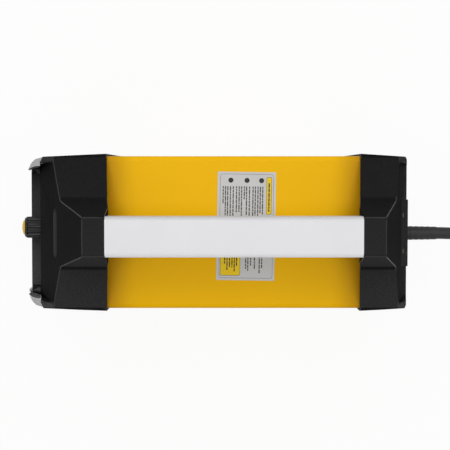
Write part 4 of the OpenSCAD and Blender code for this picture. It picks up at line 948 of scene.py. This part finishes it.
def bar(x0, up0, x1, up1, width, out=0.0):
    """Flat stroke, 0.04 mm thick, from one point of the panel to another, with pointed ends."""
    way = np.array([x1 - x0, up1 - up0], float)
    length = np.linalg.norm(way)
    way /= length
    cross = np.array([-way[1], way[0]])
    half = width / 2
    outline = [(0, 0), (half, half), (length - half, half), (length, 0), (length - half, -half), (half, -half)]
    flat = [np.array([x0, up0]) + u * way + v * cross for u, v in outline]
    rings = [[on_panel(*point, out + z) for point in flat] for z in (0.0, 0.04)]
    return sheet_of(capped(np.array(rings)), False, True)


SEGMENTS = {"1": "BC", "3": "ABGCD", "8": "ABCDEFG"}


def digit(figure, x, tall, width, out):
    """Seven strokes between the six corners of a digit; only the strokes of the figure are made."""
    w, h = tall * 0.24, tall / 2
    g = width * 0.12
    strokes = {"A": (-w + g, h, w - g, h), "D": (-w + g, -h, w - g, -h), "G": (-w + g, 0, w - g, 0),
               "F": (-w, g, -w, h - g), "B": (w, g, w, h - g), "E": (-w, -h + g, -w, -g), "C": (w, -h + g, w, -g)}
    return [bar(x + x0, y0, x + x1, y1, width, out) for x0, y0, x1, y1 in (strokes[k] for k in SEGMENTS[figure])]


def panel_print():
    """Scale strokes round the knob where the window leaves room, a switched-ring sign and a three-bar sign
    under the buttons, strokes over the lamps and two thin lines along the window."""
    strokes = []
    for k in range(11):
        angle = math.radians(-135 + 27 * k)
        s, c = math.sin(angle), math.cos(angle)
        reach = 12.8 if k % 2 else 13.6
        beside_window = s < -0.5 and abs(c) < 0.8
        if not beside_window:
            strokes.append(bar(-2 + 11.2 * s, -3.8 + 11.2 * c, -2 + reach * s, -3.8 + reach * c, 0.55))
    ring = np.radians(np.linspace(35, 325, 13))
    spots = np.stack([37 + 1.7 * np.sin(ring), -13.2 + 1.7 * np.cos(ring)], 1)
    strokes += [bar(*one, *other, 0.4) for one, other in zip(spots, spots[1:])]
    strokes.append(bar(37, -12.9, 37, -10.9, 0.45))
    strokes += [bar(18.2, up, 21.8, up, 0.5) for up in (-14.4, -13.2, -12.0)]
    strokes += [bar(x - 2.2, 13.2, x + 2.2, 13.2, 0.55) for x in (20.0, 28.5, 37.0)]
    strokes += [bar(-46.6, 12.2, -9.4, 12.2, 0.4), bar(-46.6, -12.2, -14.5, -12.2, 0.4)]
    mesh_piece("panel_print", strokes, PRINT_WHITE)


def display_digits():
    """Three glowing figures and a point on the window."""
    tall, width, out = 9.6, 1.1, 0.40
    strokes = [stroke for figure, x in (("1", -38.0), ("3", -29.4), ("8", -19.0))
               for stroke in digit(figure, x, tall, width, out)]
    strokes.append(bar(-24.9, -tall / 2, -23.5, -tall / 2, width, out))
    mesh_piece("display_digits", strokes, GLOW)


panel_print()
display_digits()

KNOB_PLACE = np.array([-2, -144.610, 117.446])


def flutes(h, a):
    """Grooves of the knob: 1 - 0.15 * (soft square wave of 13 periods), faded out above the skirt and below
    the rim. The grooves are widest at the front and narrow towards the skirt."""
    wave = 0.5 + 0.5 * np.tanh(3.0 * (np.cos(13 * a) - 0.75 + 0.075 * h))
    fade = smooth_step((h - 3.2) / 1.2) * smooth_step((17.6 - h) / 1.0)
    return 1 - 0.15 * wave * fade


def knob():
    """Fluted knob as a lathe with grooves, its longer profile sides in steps of about 0.7 mm. The cap is a
    shallow dome, and the pointer is a printed stroke on the front rim, at its top at rest."""
    place = KNOB_PLACE * MM
    body = rounded_profile([(0, 0.6), (9.7, 0.6), (9.85, 1.2), (9.85, 2.8), (9.5, 3.3), (9.35, 17.0), (7.9, 19.3),
                            (6.95, 19.3), (6.75, 18.5), (0, 18.5)], 0.5, 6)
    filled = np.concatenate([body[:1]] + [np.linspace(p, q, 1 + int(max(np.linalg.norm(q - p) // 0.7, 1)))[1:]
                                          for p, q in zip(body, body[1:])])
    shell = lathe(filled, place, PANEL_OUT, PANEL_UP, 192, flutes)
    mesh_piece("fluted_knob", [shell], FINISHES["knob_plastic"], "knob", ("control_knob",), sharp=50)
    t = np.linspace(0, 1, 14) * math.pi / 2
    dome = np.column_stack([6.6 * np.sin(t), 19.2 + 2.35 * np.cos(t) ** 1.1])
    cap = lathe([*dome, (6.7, 18.9), (6.7, 18.45), (0, 18.45)], place, PANEL_OUT, PANEL_UP, 64)
    mesh_piece("yellow_cap", [cap], FINISHES["yellow_plastic"], "knob", ("knob_cap",))
    rim = (KNOB_PLACE + 7.38 * PANEL_UP + 19.27 * PANEL_OUT) * MM
    stroke = slab((1.0, 0.85, 0.08), rim, PANEL_OUT, PANEL_UP, edge=0.03)
    mesh_piece("knob_pointer", [stroke], PRINT_WHITE, "knob")


knob()

# -------- sockets


def socket_signs():
    """Plus and minus strokes above the two sockets, on the socket panel."""
    strokes = [slab((wide, tall, 0.05), np.array([x, -150.0, 84.6]) * MM, (0, -1, 0), edge=0.02)
               for x, wide, tall in ((-22, 7.5, 1.7), (22, 7.5, 1.7), (22, 1.7, 7.5))]
    mesh_piece("socket_signs", strokes, PRINT_WHITE)


socket_signs()

# -------- screws and fan guard


FAN_HOLE, FAN_Z = 35.75, 55.0
CORNERS = [(x, z) for x in (-1, 1) for z in (-1, 1)]


def screws(name, source, places, axes, head, tall, shank, length, hint, metal="steel"):
    """Domed cross-recessed heads on their seats, each with its shank behind."""
    parts = []
    for place, axis, deep in zip(places, axes, np.broadcast_to(length, len(places))):
        place = np.array(place, float) * MM
        parts.append(screw_head(place, axis, head, tall, hint))
        parts.append(lathe([(0, 0), (shank, 0), (shank, -deep + 0.6), (0, -deep)], place, axis, sides=24))
    mesh_piece(name, parts, FINISHES[metal], replaces=(source,), sharp=55)


def all_screws():
    """The five kinds. The guards' upper screws are short, so that no shank comes out behind its seat."""
    guard_seats = [(s, z) for s in (-1, 1) for z in (22.0, 148.0)]
    screws("guard_screw_heads", "guard_screws", [(s * 60.4, -143.6, z) for s, z in guard_seats],
           [(s, 0, 0) for s, _ in guard_seats], 2.7, 1.6, 1.6, [7.8, 3.0, 7.8, 3.0], (0, 1, 0.4))
    cover_seats = [(s, y) for s in (-1, 1) for y in (-45.64, 17.0, 79.64)]
    screws("cover_screw_heads", "cover_screws", [(s * 63.0, y, 18.0) for s, y in cover_seats],
           [(s, 0, 0) for s, _ in cover_seats], 3.8, 1.8, 2.0, 7.8, (0, 1, 0.7))
    screws("rear_screw_heads", "rear_panel_screws", [(52.6 * x, 160.0, 67.0 + 49.0 * z) for x, z in CORNERS],
           [(0, 1, 0)] * 4, 3.0, 1.8, 1.6, 9.8, (0.3, 0, 1))
    screws("fan_screw_heads", "fan_screws", [(FAN_HOLE * x, 158.8, FAN_Z + FAN_HOLE * z) for x, z in CORNERS],
           [(0, 1, 0)] * 4, 3.6, 1.8, 2.0, 27.8, (0.8, 0, 1))
    out = np.array([0, 14, 7.79]) / math.hypot(14, 7.79)
    screws("top_screw_heads", "rear_top_screws", [np.array([1.3 + x, 160.205, 158.0]) - 3.0 * out for x in (-15, 15)],
           [out] * 2, 3.4, 2.0, 1.75, 8.3, (1, 0, 0.4), "zinc")


def wire_guard():
    """The fan's guard: round wire rings in one plane, four straight stays and four eyes for the screws."""
    middle = np.array([0, 157.9, FAN_Z])
    parts = [swept(circle(r * MM, middle * MM, (0, 1, 0), 96), 0.85 * MM, 10, True) for r in (10, 18.5, 27, 35.5)]
    ring = rounded_profile([(2.15, -0.8), (3.9, -0.8), (3.9, 0.8), (2.15, 0.8), (2.15, -0.8)], 0.4)
    for x, z in CORNERS:
        way = np.array([x, 0, z]) / math.sqrt(2)
        eye = middle + FAN_HOLE * math.sqrt(2) * way
        parts.append(swept(np.linspace(middle + 9.8 * way, eye - 4.2 * way, 10) * MM, 0.8 * MM, 10))
        parts.append(lathe(ring, eye * MM, (0, 1, 0), sides=32))
    mesh_piece("wire_fan_guard", parts, FINISHES["steel"], replaces=("fan_guard",))


all_screws()
wire_guard()
